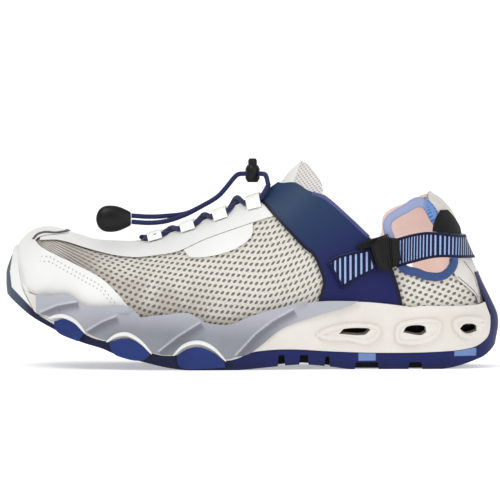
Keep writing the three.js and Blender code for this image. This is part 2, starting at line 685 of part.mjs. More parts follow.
const looks = {
  navyRubber: { color: 0x13256a, roughness: 0.75, metalness: 0 },
  foam: { color: 0xe6dfd5, roughness: 0.8, metalness: 0 },
  greyGuard: { color: 0xadb2bb, roughness: 0.5, metalness: 0 },
  mesh: { color: 0xdcd8d0, roughness: 0.9, metalness: 0 },
  white: { color: 0xf1f1ef, roughness: 0.5, metalness: 0 },
  pink: { color: 0xe9d0c6, roughness: 0.9, metalness: 0 },
  saddle: { color: 0x17316b, roughness: 0.55, metalness: 0 },
  roll: { color: 0x8c9cc6, roughness: 0.8, metalness: 0 },
  webbing: { color: 0x141a3c, roughness: 0.85, metalness: 0 },
  black: { color: 0x101114, roughness: 0.45, metalness: 0 },
};

const pieces = new THREE.Group();
const piece = (name, solid, look) => pieces.add(finish(solid, name, looks[look]));
piece('outsole', outsole(), 'navyRubber');
piece('midsole', midsole(), 'foam');
piece('side_guard_lateral', sideGuard(lateral), 'greyGuard');
piece('side_guard_medial', sideGuard(medial), 'greyGuard');
piece('insole', insole(), 'pink');
piece('upper', upper(), 'mesh');
piece('tongue', tongue(), 'mesh');
piece('toe_cap', overlay(toeCapOutline, both), 'white');
piece('eyestay', overlay(eyestayOutline, both, [toeCapOutline, saddleOutline]), 'white');
piece('saddle_lateral', overlay(saddleOutline, lateral, [lateralRing]), 'saddle');
piece('saddle_medial', overlay(saddleOutline, medial, [medialRing]), 'saddle');
piece('ring_lateral', ring(lateralRing, lateralHole, lateral), 'roll');
piece('ring_medial', ring(medialRing, medialHole, medial), 'roll');
piece('heel_counter', heelCounter(), 'white');
piece('heel_tab_lateral', heelTab(lateral), 'black');
piece('heel_tab_medial', heelTab(medial), 'black');
piece('side_label', sideLabel(), 'white');
piece('strap_front', strapFront(), 'webbing');
piece('strap_rear', strapRear(), 'webbing');
piece('buckle_socket', buckleHalf(socketOutline, buckleThickness), 'black');
piece('buckle_plug', buckleHalf(plugOutline, buckleThickness - buckleRidge), 'black');
loopPlaces.forEach((u, i) => {
  piece(`lace_loop_lateral_${i + 1}`, laceLoop(u, -1), 'white');
  piece(`lace_loop_medial_${i + 1}`, laceLoop(u, 1), 'white');
});
piece('lace_bars', laceBars(), 'webbing');

const cordPieces = new THREE.Group();
const cordPiece = (name, solid, look) => cordPieces.add(finish(solid, name, looks[look]));
cordPiece('cord_top_lateral', cordTop(-1), 'webbing');
cordPiece('cord_top_medial', cordTop(1), 'webbing');
cordPiece('cord_end_lateral', cordEnd(-1), 'webbing');
cordPiece('cord_end_medial', cordEnd(1), 'webbing');
cordPiece('cord_lock', cordLock(), 'black');
cordPiece('end_stop', endStop(), 'black');

// The origin is under the middle of the shoe without its free cords, on the floor
const middle = new THREE.Box3().setFromObject(pieces).getCenter(new THREE.Vector3());
const shoe = new THREE.Group();
shoe.add(pieces, cordPieces);
shoe.position.set(-middle.x, -middle.y, 0);

export default shoe;
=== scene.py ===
"""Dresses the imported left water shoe: sole, mesh upper, films, webbing, lace and buckle.

The shoe points its toe along -X and its lateral side along -Y, in metres.
"""
import logging
import math
from dataclasses import dataclass, field
from enum import Enum
from typing import Callable, NamedTuple, Sequence

import bmesh
import bpy
import numpy as np
from mathutils import Matrix, Vector
from mathutils.bvhtree import BVHTree


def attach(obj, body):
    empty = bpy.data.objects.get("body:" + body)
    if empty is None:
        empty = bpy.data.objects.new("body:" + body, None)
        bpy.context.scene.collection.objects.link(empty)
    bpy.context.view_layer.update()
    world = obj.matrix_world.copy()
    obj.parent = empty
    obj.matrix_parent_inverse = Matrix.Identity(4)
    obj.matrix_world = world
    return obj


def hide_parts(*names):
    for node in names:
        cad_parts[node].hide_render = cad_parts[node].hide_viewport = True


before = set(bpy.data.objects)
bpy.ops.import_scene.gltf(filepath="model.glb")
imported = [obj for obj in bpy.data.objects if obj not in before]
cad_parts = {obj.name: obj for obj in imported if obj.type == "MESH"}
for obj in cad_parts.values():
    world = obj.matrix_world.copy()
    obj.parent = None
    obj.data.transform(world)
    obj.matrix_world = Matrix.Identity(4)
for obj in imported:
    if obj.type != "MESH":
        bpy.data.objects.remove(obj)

log = logging.getLogger("water_shoe")
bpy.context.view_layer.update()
MM = 0.001

Outline = Sequence[tuple[float, float]]
Colour = tuple[float, float, float]


class Side(Enum):
    """Which side of the shoe a piece is on, by the sign of Y."""

    LATERAL = -1
    MEDIAL = 1
    BOTH = 0


class Last:
    """The foot-shaped form that every piece of the shoe is worked out from."""

    COLUMNS = ("u", "half", "bend", "bed", "widest", "top", "power")
    ROWS = (
        (0.00, 0.380, 0.075, 2.00, 0.40, 0.610, 2.5),
        (0.05, 0.420, 0.070, 1.74, 0.80, 0.690, 2.5),
        (0.09, 0.450, 0.062, 1.50, 1.00, 0.722, 2.5),
        (0.14, 0.472, 0.050, 1.28, 1.00, 0.670, 2.4),
        (0.18, 0.486, 0.040, 1.14, 1.00, 0.625, 2.3),
        (0.22, 0.495, 0.028, 1.02, 1.00, 0.613, 2.2),
        (0.27, 0.500, 0.010, 0.90, 1.00, 0.615, 2.1),
        (0.33, 0.500, -0.008, 0.82, 1.00, 0.680, 2.0),
        (0.40, 0.482, -0.027, 0.78, 1.00, 0.783, 1.95),
        (0.47, 0.446, -0.045, 0.80, 1.00, 0.918, 1.9),
        (0.53, 0.406, -0.056, 0.86, 1.00, 1.040, 1.9),
        (0.60, 0.366, -0.055, 0.92, 1.00, 1.255, 2.0),
        (0.65, 0.348, -0.042, 0.96, 1.05, 1.440, 2.1),
        (0.70, 0.344, -0.026, 0.98, 1.10, 1.520, 2.2),
        (0.76, 0.345, -0.005, 1.00, 1.15, 1.500, 2.2),
        (0.80, 0.346, 0.000, 1.00, 1.20, 1.330, 2.2),
        (0.83, 0.346, 0.000, 1.00, 1.20, 1.135, 2.2),
        (0.857, 0.343, 0.000, 1.00, 1.20, 1.004, 2.3),
        (0.883, 0.340, 0.000, 1.00, 1.20, 0.932, 2.3),
        (0.905, 0.338, 0.000, 1.00, 1.20, 0.826, 2.3),
        (0.929, 0.336, 0.000, 1.00, 1.10, 0.600, 2.3),
        (0.947, 0.335, 0.000, 1.00, 1.00, 0.460, 2.3),
        (1.00, 0.335, 0.000, 1.00, 0.90, 0.200, 2.3),
    )
    LENGTH = 290 * MM
    BALL_WIDTH = 93 * MM
    BED_HEIGHT = 25 * MM
    UPPER_HEIGHT = 77.5 * MM
    TUCK_HEIGHT = 12 * MM
    DEPTH = 8 * MM
    TOE_RAND = 4.3 * MM
    HEEL_CUP = 9.4 * MM
    TOE_RADIUS = 42 * MM
    HEEL_RADIUS = 34 * MM
    TOE_BOX_RADIUS = 14 * MM
    HEEL_TOP_RADIUS = 10 * MM
    END_POWER = 2.2
    TOE = TOE_RAND - LENGTH / 2
    HEEL = LENGTH / 2 - HEEL_CUP

    @classmethod
    def read(cls, column: str, u: np.ndarray) -> np.ndarray:
        """Reads one column of the table by a cubic through its rows.

        Args:
            column: The column's name.
            u: Shares of the length from the toe.

        Returns:
            The column's values there.
        """
        rows = np.array(cls.ROWS)
        return cubic(rows[:, 0], rows[:, cls.COLUMNS.index(column)], u)

    @classmethod
    def rounded(cls, distance: np.ndarray, radius: float) -> np.ndarray:
        """Rounds an end along a superellipse.

        Args:
            distance: How far inside the end.
            radius: Where the rounding stops.

        Returns:
            0 at the end and 1 from the radius on.
        """
        left = 1 - np.clip(distance / radius, 0, 1)
        return (1 - left**cls.END_POWER) ** (1 / cls.END_POWER)

    @classmethod
    def section(cls, x: np.ndarray) -> dict[str, np.ndarray]:
        """Works out the last's section at x.

        Args:
            x: Places along the shoe, in metres.

        Returns:
            bed, widest, centre, half, rise, drop and power there.
        """
        x = np.asarray(x, float)
        u = x / cls.LENGTH + 0.5
        bed = cls.read("bed", u) * cls.BED_HEIGHT
        widest = bed + cls.read("widest", u) * cls.TUCK_HEIGHT
        crest = cls.BED_HEIGHT + cls.read("top", u) * cls.UPPER_HEIGHT
        to_toe, to_heel = x - cls.TOE, cls.HEEL - x
        plan = cls.rounded(to_toe, cls.TOE_RADIUS) * cls.rounded(to_heel, cls.HEEL_RADIUS)
        rise = cls.rounded(to_toe, cls.TOE_BOX_RADIUS) * cls.rounded(to_heel, cls.HEEL_TOP_RADIUS)
        return {
            "bed": bed,
            "widest": widest,
            "centre": cls.read("bend", u) * cls.BALL_WIDTH,
            "half": cls.read("half", u) * cls.BALL_WIDTH * plan,
            "rise": (crest - widest) * rise,
            "drop": (widest - bed + cls.DEPTH) * rise,
            "power": cls.read("power", u),
        }

    @classmethod
    def point(cls, x: np.ndarray, angle: np.ndarray) -> np.ndarray:
        """Places points on the last's surface.

        Args:
            x: Places along the shoe.
            angle: Places round the section, 0 on the medial side and half a turn on the lateral.

        Returns:
            The points, with x, y and z in the last axis.
        """
        s = cls.section(x)
        up = np.sign(np.sin(angle)) * np.abs(np.sin(angle)) ** (2 / s["power"])
        across = np.sign(np.cos(angle)) * np.abs(np.cos(angle)) ** (2 / s["power"])
        height = np.where(up > 0, s["rise"], s["drop"])
        return np.stack([x + 0 * up, s["centre"] + s["half"] * across, s["widest"] + up * height], -1)

    @classmethod
    def on_side(cls, x: float, z: float, side: Side, grow: float = 0.0) -> np.ndarray:
        """Finds the surface at a place of the side view.

        Args:
            x: Place along the shoe.
            z: Height, held to what the section has.
            side: The side of the shoe.
            grow: How far out from the last's own surface.

        Returns:
            The point.
        """
        s = cls.section(x)
        share = np.clip((z - s["widest"]) / max(float(s["rise"]), 1e-6), -0.95, 1)
        angle = np.arcsin(np.sign(share) * np.abs(share) ** (s["power"] / 2))
        if side is Side.LATERAL:
            angle = math.pi - angle
        return cls.point(x, angle) + grow * cls.normal(x, angle)

    @classmethod
    def normal(cls, x: float, angle: float) -> np.ndarray:
        """Gives the outward normal at one point of the surface.

        Args:
            x: Place along the shoe.
            angle: Place round the section.

        Returns:
            The unit normal.
        """
        near_x, near_angle = 0.3 * MM, 0.02
        along = cls.point(x + near_x, angle) - cls.point(x - near_x, angle)
        around = cls.point(x, angle + near_angle) - cls.point(x, angle - near_angle)
        outward = np.cross(around, along)
        return outward / np.linalg.norm(outward)


def cubic(places: np.ndarray, values: np.ndarray, u: np.ndarray) -> np.ndarray:
    """Reads a table by a cubic with central slopes.

    Args:
        places: The rows' places, rising.
        values: The rows' values.
        u: Where to read.

    Returns:
        The values there.
    """
    u = np.asarray(u, float)
    last = len(places) - 1
    i = np.clip(np.searchsorted(places, u, side="right") - 1, 0, last - 1)

    def slope(k: np.ndarray) -> np.ndarray:
        low, high = np.maximum(k - 1, 0), np.minimum(k + 1, last)
        return (values[high] - values[low]) / (places[high] - places[low])

    step = places[i + 1] - places[i]
    t = (u - places[i]) / step
    rise = t * t * (3 - 2 * t)
    bend = slope(i) * t * (1 - t) ** 2 - slope(i + 1) * t * t * (1 - t)
    return values[i] * (1 - rise) + values[i + 1] * rise + step * bend


def smooth_outline(points: Outline, steps: int = 5, corner: float = 50, closed: bool = True) -> np.ndarray:
    """Rounds an outline through its own points, but keeps its real corners.

    Args:
        points: The outline's points.
        steps: New points for each stretch.
        corner: Turns from this many degrees on stay sharp.
        closed: Whether the outline comes back to its start.

    Returns:
        The denser outline.
    """
    given = np.array(points, float)
    count = len(given)
    before = np.roll(given, 1, 0)
    after = np.roll(given, -1, 0)
    if not closed:
        before[0], after[-1] = given[0], given[-1]
    to_here, onward = given - before, after - given
    lengths = np.linalg.norm(to_here, axis=1) * np.linalg.norm(onward, axis=1)
    cosine = np.divide((to_here * onward).sum(1), lengths, out=np.ones(count), where=lengths > 0)
    bent = cosine < math.cos(math.radians(corner))
    dense = []
    for i in range(count if closed else count - 1):
        j = (i + 1) % count
        reach = np.linalg.norm(given[j] - given[i])
        leave = given[j] - given[i] if bent[i] else unit(after[i] - before[i]) * reach
        arrive = given[j] - given[i] if bent[j] else unit(after[j] - before[j]) * reach
        for t in np.arange(steps) / steps:
            rise = t * t * (3 - 2 * t)
            pull = leave * t * (1 - t) ** 2 - arrive * t * t * (1 - t)
            dense.append(given[i] * (1 - rise) + given[j] * rise + pull)
    if not closed:
        dense.append(given[-1])
    return np.array(dense)


def unit(vector: np.ndarray) -> np.ndarray:
    """Scales a vector to length 1.

    Args:
        vector: Any vector.

    Returns:
        The vector at length 1, or zeros where it has no length.
    """
    size = np.linalg.norm(vector)
    return vector / size if size > 0 else vector * 0


def grown(points: np.ndarray, distance: float) -> np.ndarray:
    """Moves a closed outline outwards with mitred corners.

    Args:
        points: The outline.
        distance: How far, inwards where negative.

    Returns:
        The moved outline.
    """
    x, z = points[:, 0], points[:, 1]
    turn = np.sign(np.sum(x * np.roll(z, -1) - np.roll(x, -1) * z))
    edge = np.roll(points, -1, 0) - points
    edge = edge / np.maximum(np.linalg.norm(edge, axis=1, keepdims=True), 1e-9)
    after = turn * np.stack([edge[:, 1], -edge[:, 0]], -1)
    before = np.roll(after, 1, 0)
    mitre = distance / np.maximum(1 + (after * before).sum(1, keepdims=True), 0.5)
    return points + mitre * (after + before)


def on_sole(rows: Outline) -> np.ndarray:
    """Turns an outline of the sole from shares into metres.

    Args:
        rows: Shares of the length from the toe, and of the bed's height.

    Returns:
        The outline in the side view.
    """
    return np.array([((u - 0.5) * Last.LENGTH, up * Last.BED_HEIGHT) for u, up in rows])


def on_upper(rows: Outline) -> np.ndarray:
    """Turns an outline of the upper from shares into metres.

    Args:
        rows: Shares of the length from the toe, and of the upper's height over the bed.

    Returns:
        The outline in the side view.
    """
    return np.array([((u - 0.5) * Last.LENGTH, Last.BED_HEIGHT + up * Last.UPPER_HEIGHT) for u, up in rows])


def link(name: str, mesh: bpy.types.Mesh) -> bpy.types.Object:
    """Puts a mesh into the scene.

    Args:
        name: The object's name.
        mesh: Its mesh.

    Returns:
        The new object.
    """
    made = bpy.data.objects.new(name, mesh)
    bpy.context.scene.collection.objects.link(made)
    return made


def to_mesh(name: str, bm: bmesh.types.BMesh, look: bpy.types.Material | None) -> bpy.types.Object:
    """Closes a bmesh into a smooth object.

    Args:
        name: The object's name.
        bm: The bmesh, which is freed.
        look: Its material, if it has one.

    Returns:
        The new object.
    """
    bmesh.ops.remove_doubles(bm, verts=bm.verts, dist=0.002 * MM)
    bmesh.ops.dissolve_degenerate(bm, edges=bm.edges, dist=0.002 * MM)
    bmesh.ops.recalc_face_normals(bm, faces=bm.faces)
    mesh = bpy.data.meshes.new(name)
    bm.to_mesh(mesh)
    bm.free()
    mesh.shade_smooth()
    if look:
        mesh.materials.append(look)
    return link(name, mesh)


def surface(name: str, points: np.ndarray, look: bpy.types.Material | None = None,
            uv: np.ndarray | None = None) -> bpy.types.Object:
    """Lays a grid over rows of points. Rows or columns that meet are merged.

    Args:
        name: The object's name.
        points: The places, as rows by columns by 3.
        look: Its material.
        uv: Texture places in metres, as rows by columns by 2.

    Returns:
        The new object.
    """
    rows, columns = points.shape[:2]
    bm = bmesh.new()
    layer = bm.loops.layers.uv.new("flat")
    bmesh.ops.create_grid(bm, x_segments=rows - 1, y_segments=columns - 1, size=1)
    places = {v: (round((v.co.x + 1) / 2 * (rows - 1)), round((v.co.y + 1) / 2 * (columns - 1))) for v in bm.verts}
    if uv is not None:
        for face in bm.faces:
            for loop in face.loops:
                loop[layer].uv = uv[places[loop.vert]]
    for vert, place in places.items():
        vert.co = points[place]
    return to_mesh(name, bm, look)


def prism(outline: np.ndarray, start: float, end: float, look: bpy.types.Material | None = None,
          axis: int = 1) -> bpy.types.Object:
    """Presses a flat outline through the shoe.

    Args:
        outline: The outline, in the side view or in plan.
        start: Where it starts along the axis.
        end: Where it ends.
        look: Material of the faces that it cuts.
        axis: 1 across the shoe, 2 upwards.

    Returns:
        The closed prism.
    """
    bm = bmesh.new()
    ring = bmesh.ops.create_circle(bm, cap_ends=True, segments=len(outline), radius=1)["verts"]
    for vert, (first, second) in zip(ring, outline):
        vert.co = (first, start, second) if axis == 1 else (first, second, start)
    made = bmesh.ops.extrude_face_region(bm, geom=list(bm.faces))["geom"]
    move = Vector((0, end - start, 0)) if axis == 1 else Vector((0, 0, end - start))
    bmesh.ops.translate(bm, verts=[v for v in made if isinstance(v, bmesh.types.BMVert)], vec=move)
    bmesh.ops.triangulate(bm, faces=[f for f in bm.faces if len(f.verts) > 4])
    return to_mesh("prism", bm, look)


def combine(target: bpy.types.Object, tool: bpy.types.Object, operation: str) -> bpy.types.Object:
    """Joins, cuts or intersects two solids.

    Args:
        target: The solid that is changed.
        tool: The other solid, which is used up.
        operation: UNION, DIFFERENCE or INTERSECT.

    Returns:
        The changed target.
    """
    cut = target.modifiers.new("cut", "BOOLEAN")
    cut.solver = "MANIFOLD"
    cut.operation = operation
    cut.material_mode = "TRANSFER"
    cut.object = tool
    settle(target)
    bpy.data.objects.remove(tool)
    return target


def settle(piece: bpy.types.Object) -> bpy.types.Object:
    """Applies a piece's modifiers to its mesh.

    Args:
        piece: The piece.

    Returns:
        The same piece, without modifiers.
    """
    bpy.context.view_layer.update()
    done = piece.evaluated_get(bpy.context.evaluated_depsgraph_get())
    mesh = bpy.data.meshes.new_from_object(done)
    piece.modifiers.clear()
    old = piece.data
    piece.data = mesh
    bpy.data.meshes.remove(old)
    return piece


class Skins:
    """Closed skins of the last and of the sole, at any distance from them."""

    STATIONS = 150
    CROWN_STEPS = 96
    BOTTOM_STEPS = 24
    SOLE_STEPS = 200
    SOLE_LEVELS = 90
    SOLE_COLUMNS = ("up", "side", "front", "back")
    SOLE_ROWS = (
        (-0.30, 0.40, 0.50, 0.60),
        (0.58, 1.00, 0.70, 0.83),
        (0.98, 1.10, 0.75, 1.00),
        (1.25, 1.05, 0.80, 0.94),
        (1.57, 1.00, 0.80, 0.57),
        (2.20, 0.80, 1.00, -0.22),
        (2.82, 0.60, -0.25, -0.70),
        (3.10, 0.50, -0.90, -0.90),
    )
    SOLE_MARGIN = 3.6 * MM

    def __init__(self) -> None:
        """Works out both surfaces once."""
        self.last_points, self.last_flat = self._last()
        self.last_normals = self._normals(self.last_points)
        self.sole_points, self.sole_flat = self._sole()
        self.sole_normals = self._normals(self.sole_points)
        self.made: dict[tuple, bpy.types.Object] = {}

    @staticmethod
    def _eased(steps: int) -> np.ndarray:
        """Spaces stations closer together at both ends.

        Args:
            steps: How many stretches.

        Returns:
            Places along the shoe.
        """
        share = np.arange(steps + 1) / steps
        eased = share - 0.75 * np.sin(2 * np.pi * share) / (2 * np.pi)
        return Last.TOE + (Last.HEEL - Last.TOE) * eased

    def _last(self) -> tuple[np.ndarray, np.ndarray]:
        """Samples the last, with its columns round the section.

        Returns:
            The points, and their flat places in metres.
        """
        x = self._eased(self.STATIONS)
        crown = np.pi * np.arange(self.CROWN_STEPS) / self.CROWN_STEPS
        under = np.pi * (1 + np.arange(self.BOTTOM_STEPS + 1) / self.BOTTOM_STEPS)
        angle = np.concatenate([crown, under])
        points = Last.point(x[:, None], angle[None, :])
        return points, self._flat(points, self.CROWN_STEPS // 2)

    @staticmethod
    def _flat(points: np.ndarray, middle: int) -> np.ndarray:
        """Measures a surface along and around, from a middle column.

        Args:
            points: The surface.
            middle: The column that both sides are measured from.

        Returns:
            Metres along and metres around, for each point.
        """
        around = np.linalg.norm(np.diff(points, axis=1, prepend=points[:, :1]), axis=2).cumsum(1)
        around = around - around[:, middle:middle + 1]
        along = np.linalg.norm(np.diff(points[:, middle], axis=0, prepend=points[:1, middle]), axis=1).cumsum()
        return np.stack([along[:, None] + 0 * around, around], -1)

    def _sole(self) -> tuple[np.ndarray, np.ndarray]:
        """Samples the sole's wall, as plan outlines one above the other.

        Returns:
            The points, and their flat places in metres.
        """
        x = self._eased(self.SOLE_STEPS)
        s = Last.section(x)
        lateral = np.stack([x, s["centre"] - s["half"]], -1)
        medial = np.stack([x, s["centre"] + s["half"]], -1)
        loop = np.concatenate([lateral, medial[-2:0:-1]])
        tangent = np.roll(loop, -1, 0) - np.roll(loop, 1, 0)
        tangent /= np.linalg.norm(tangent, axis=1, keepdims=True)
        normal = np.stack([tangent[:, 1], -tangent[:, 0]], -1)
        rows = np.array(self.SOLE_ROWS)
        up = np.linspace(rows[0, 0], rows[-1, 0], self.SOLE_LEVELS)
        side, front, back = (cubic(rows[:, 0], rows[:, i], up) for i in (1, 2, 3))
        front, back = np.minimum(front, 1), np.minimum(back, 1)
        along = np.where(normal[None, :, 0] < 0, Last.TOE_RAND * front[:, None], Last.HEEL_CUP * back[:, None])
        px = loop[None, :, 0] + normal[None, :, 0] * along
        py = loop[None, :, 1] + normal[None, :, 1] * self.SOLE_MARGIN * side[:, None]
        walls = np.stack([px, py, np.repeat(up[:, None] * Last.BED_HEIGHT, len(loop), 1)], -1)
        walls = np.concatenate([walls, walls[:, :1]], 1)
        partner = (len(loop) - np.arange(len(loop) + 1)) % len(loop)
        bottom, top = ((row + row[partner]) / 2 for row in (walls[0], walls[-1]))
        points = np.concatenate([bottom[None], walls, top[None]])
        around = np.linalg.norm(np.diff(points[1], axis=0, prepend=points[1, :1]), axis=1).cumsum()
        flat = np.stack([np.repeat(around[None], len(points), 0), points[..., 2]], -1)
        return points, flat

    @staticmethod
    def _normals(points: np.ndarray) -> np.ndarray:
        """Works out a surface's outward normals.

        Args:
            points: The surface, with its first column again as its last.

        Returns:
            A unit vector for each point.
        """
        along = np.gradient(points, axis=0)
        wrapped = np.concatenate([points[:, -2:-1], points, points[:, 1:2]], 1)
        around = (wrapped[:, 2:] - wrapped[:, :-2]) / 2
        normal = np.cross(around, along)
        size = np.linalg.norm(normal, axis=2, keepdims=True)
        normal = normal / np.maximum(size, 1e-12)
        middle = points[points.shape[0] // 2].mean(0)
        if ((points - middle) * normal).sum() < 0:
            normal = -normal
        return normal

    def last(self, grow: float, look: bpy.types.Material | None = None,
             relief: Callable[[np.ndarray], np.ndarray] | None = None) -> bpy.types.Object:
        """Makes a closed skin round the last.

        Args:
            grow: Distance out from the last.
            look: Its material.
            relief: Extra height for each point, from the points.

        Returns:
            The skin.
        """
        normals = self.last_normals.copy()
        normals[0], normals[-1] = (-1, 0, 0), (1, 0, 0)
        out = grow + (relief(self.last_points) if relief else 0)
        return self._skin(self.last_points, normals, out, self.last_flat, look, (grow, relief, "last"))

    def sole(self, grow: float, look: bpy.types.Material | None = None,
             relief: Callable[[np.ndarray], np.ndarray] | None = None) -> bpy.types.Object:
        """Makes a closed form of the sole.

        Args:
            grow: Distance out from its wall.
            look: Its material.
            relief: Extra height for each point, from the points.

        Returns:
            The form.
        """
        normals = self.sole_normals.copy()
        normals[:2], normals[-2:] = (0, 0, -1), (0, 0, 1)
        out = grow + (relief(self.sole_points) if relief else 0)
        return self._skin(self.sole_points, normals, out, self.sole_flat, look, (grow, relief, "sole"))

    def _skin(self, points: np.ndarray, normals: np.ndarray, out: np.ndarray | float, flat: np.ndarray,
              look: bpy.types.Material | None, key: tuple) -> bpy.types.Object:
        """Makes one skin, or copies it where it was made before.

        Args:
            points: The surface.
            normals: Its normals.
            out: How far out each point moves.
            flat: Flat places in metres.
            look: Its material.
            key: What tells this skin from others.

        Returns:
            The skin.
        """
        if key not in self.made:
            moved = points + normals * (out[..., None] if isinstance(out, np.ndarray) else out)
            made = surface("skin", moved, None, flat)
            bpy.context.scene.collection.objects.unlink(made)
            self.made[key] = made
        mesh = self.made[key].data.copy()
        if look:
            mesh.materials.append(look)
        return link("skin", mesh)

    def clear(self) -> None:
        """Removes the kept skins."""
        for made in self.made.values():
            mesh = made.data
            bpy.data.objects.remove(made)
            bpy.data.meshes.remove(mesh)
        self.made.clear()


class Value:
    """One output of a shader tree, which adds and multiplies as a number does."""

    def __init__(self, paint: "Paint", socket: bpy.types.NodeSocket) -> None:
        """Keeps the socket.

        Args:
            paint: The material that it belongs to.
            socket: The output socket.
        """
        self.paint = paint
        self.socket = socket

    def math(self, operation: str, *others: "Value | float", clamp: bool = False) -> "Value":
        """Puts the value first into a Math node.

        Args:
            operation: The node's operation.
            others: The other inputs.
            clamp: Whether the result stays between 0 and 1.

        Returns:
            The node's output.
        """
        return self.paint.node("ShaderNodeMath", (self, *others), operation=operation, use_clamp=clamp)

    def __add__(self, other: "Value | float") -> "Value":
        return self.math("ADD", other)

    def __sub__(self, other: "Value | float") -> "Value":
        return self.math("SUBTRACT", other)

    def __rsub__(self, other: float) -> "Value":
        return (self * -1).math("ADD", other)

    def __mul__(self, other: "Value | float") -> "Value":
        return self.math("MULTIPLY", other)

    def __truediv__(self, other: "Value | float") -> "Value":
        return self.math("DIVIDE", other)

    __radd__ = __add__
    __rmul__ = __mul__

    def wave(self, pitch: float) -> "Value":
        """Turns a length into a wave between 0 and 1.

        Args:
            pitch: Length of one wave.

        Returns:
            The wave, 1 at multiples of the pitch.
        """
        return (self * (2 * math.pi / pitch)).math("COSINE") * 0.5 + 0.5

    def step(self, start: float, end: float) -> "Value":
        """Rises smoothly from 0 to 1.

        Args:
            start: Where it is 0.
            end: Where it is 1, under the start where it falls.

        Returns:
            The rise.
        """
        return self.paint.node(
            "ShaderNodeMapRange", (self, start, end, 0.0, 1.0), interpolation_type="SMOOTHSTEP"
        )


class Paint:
    """A material that is being built from nodes."""

    def __init__(self, name: str) -> None:
        """Starts a material with one Principled shader.

        Args:
            name: The material's name.
        """
        self.material = bpy.data.materials.new(name)
        self.material.use_nodes = True
        self.tree = self.material.node_tree
        self.shader = self.tree.nodes["Principled BSDF"]

    def node(self, kind: str, inputs: Sequence = (), output: int = 0, **settings: object) -> Value:
        """Makes one node.

        Args:
            kind: The node's type.
            inputs: Values for its first inputs, None to leave one.
            output: Which output comes back.
            settings: The node's own settings.

        Returns:
            That output.
        """
        made = self.tree.nodes.new(kind)
        for key, setting in settings.items():
            setattr(made, key, setting)
        for socket, given in zip(made.inputs, inputs):
            self.feed(socket, given)
        return Value(self, made.outputs[output])

    def feed(self, socket: bpy.types.NodeSocket, given: "Value | float | Colour | None") -> None:
        """Sets or links one input.

        Args:
            socket: The input.
            given: A value of this tree, a constant, or None to leave it.
        """
        if isinstance(given, Value):
            self.tree.links.new(given.socket, socket)
        elif given is not None:
            if socket.type == "RGBA":
                given = (*given, 1.0)
            socket.default_value = given

    def place(self) -> tuple[Value, Value, Value]:
        """Gives the place on the shoe.

        Returns:
            x, y and z in metres.
        """
        place = self.node("ShaderNodeTexCoord", output=3)
        return tuple(self.node("ShaderNodeSeparateXYZ", (place,), output=i) for i in range(3))

    def flat(self) -> tuple[Value, Value]:
        """Gives the place on a surface laid flat.

        Returns:
            Metres along and around.
        """
        flat = self.node("ShaderNodeUVMap", uv_map="flat")
        return tuple(self.node("ShaderNodeSeparateXYZ", (flat,), output=i) for i in range(2))

    def noise(self, size: float, detail: float = 2.0, rough: float = 0.5) -> Value:
        """Gives noise over the shoe.

        Args:
            size: Size of its blobs in metres.
            detail: How many finer layers.
            rough: How strong those are.

        Returns:
            The noise, about 0.5.
        """
        place = self.node("ShaderNodeTexCoord", output=3)
        return self.node("ShaderNodeTexNoise", (place, None, 1 / size, detail, rough))

    def mix(self, factor: "Value | float", low: "Value | Colour", high: "Value | Colour") -> Value:
        """Mixes two colours.

        Args:
            factor: 0 for the first and 1 for the second.
            low: The first colour.
            high: The second colour.

        Returns:
            The mixed colour.
        """
        made = self.tree.nodes.new("ShaderNodeMix")
        made.data_type = "RGBA"
        self.feed(made.inputs[0], factor)
        self.feed(made.inputs[6], low)
        self.feed(made.inputs[7], high)
        return Value(self, made.outputs[2])

    def combine(self, x: "Value | float", y: "Value | float", z: "Value | float") -> Value:
        """Joins three values into a vector.

        Args:
            x: The first.
            y: The second.
            z: The third.

        Returns:
            The vector.
        """
        return self.node("ShaderNodeCombineXYZ", (x, y, z))

    def finish(self, colour: "Value | Colour", rough: "Value | float", height: Value | None = None,
               depth: float = 0.2 * MM, coat: float = 0.0, sheen: float = 0.0,
               subsurface: float = 0.0) -> bpy.types.Material:
        """Feeds the shader.

        Args:
            colour: Base colour.
            rough: Roughness.
            height: Relief between 0 and 1.
            depth: Its depth in metres.
            coat: Clear coat.
            sheen: Sheen of fabric.
            subsurface: Light that goes through the surface.

        Returns:
            The material.
        """
        self.feed(self.shader.inputs["Base Color"], colour)
        self.feed(self.shader.inputs["Roughness"], rough)
        if height is not None:
            made = self.tree.nodes.new("ShaderNodeBump")
            made.inputs["Strength"].default_value = 1.0
            made.inputs["Distance"].default_value = depth
            self.feed(made.inputs["Height"], height)
            self.tree.links.new(made.outputs["Normal"], self.shader.inputs["Normal"])
        self.shader.inputs["Specular IOR Level"].default_value = 0.3
        self.shader.inputs["Coat Weight"].default_value = coat
        self.shader.inputs["Coat Roughness"].default_value = 0.3
        self.shader.inputs["Sheen Weight"].default_value = sheen
        self.shader.inputs["Subsurface Weight"].default_value = subsurface
        self.shader.inputs["Subsurface Scale"].default_value = 2 * MM
        return self.material


def linear(red: float, green: float, blue: float) -> Colour:
    """Turns a screen colour into a linear one.

    Args:
        red: Red from 0 to 1, as a screen shows it.
        green: Green.
        blue: Blue.

    Returns:
        The linear colour.
    """
    return tuple(c / 12.92 if c <= 0.04045 else ((c + 0.055) / 1.055) ** 2.4 for c in (red, green, blue))


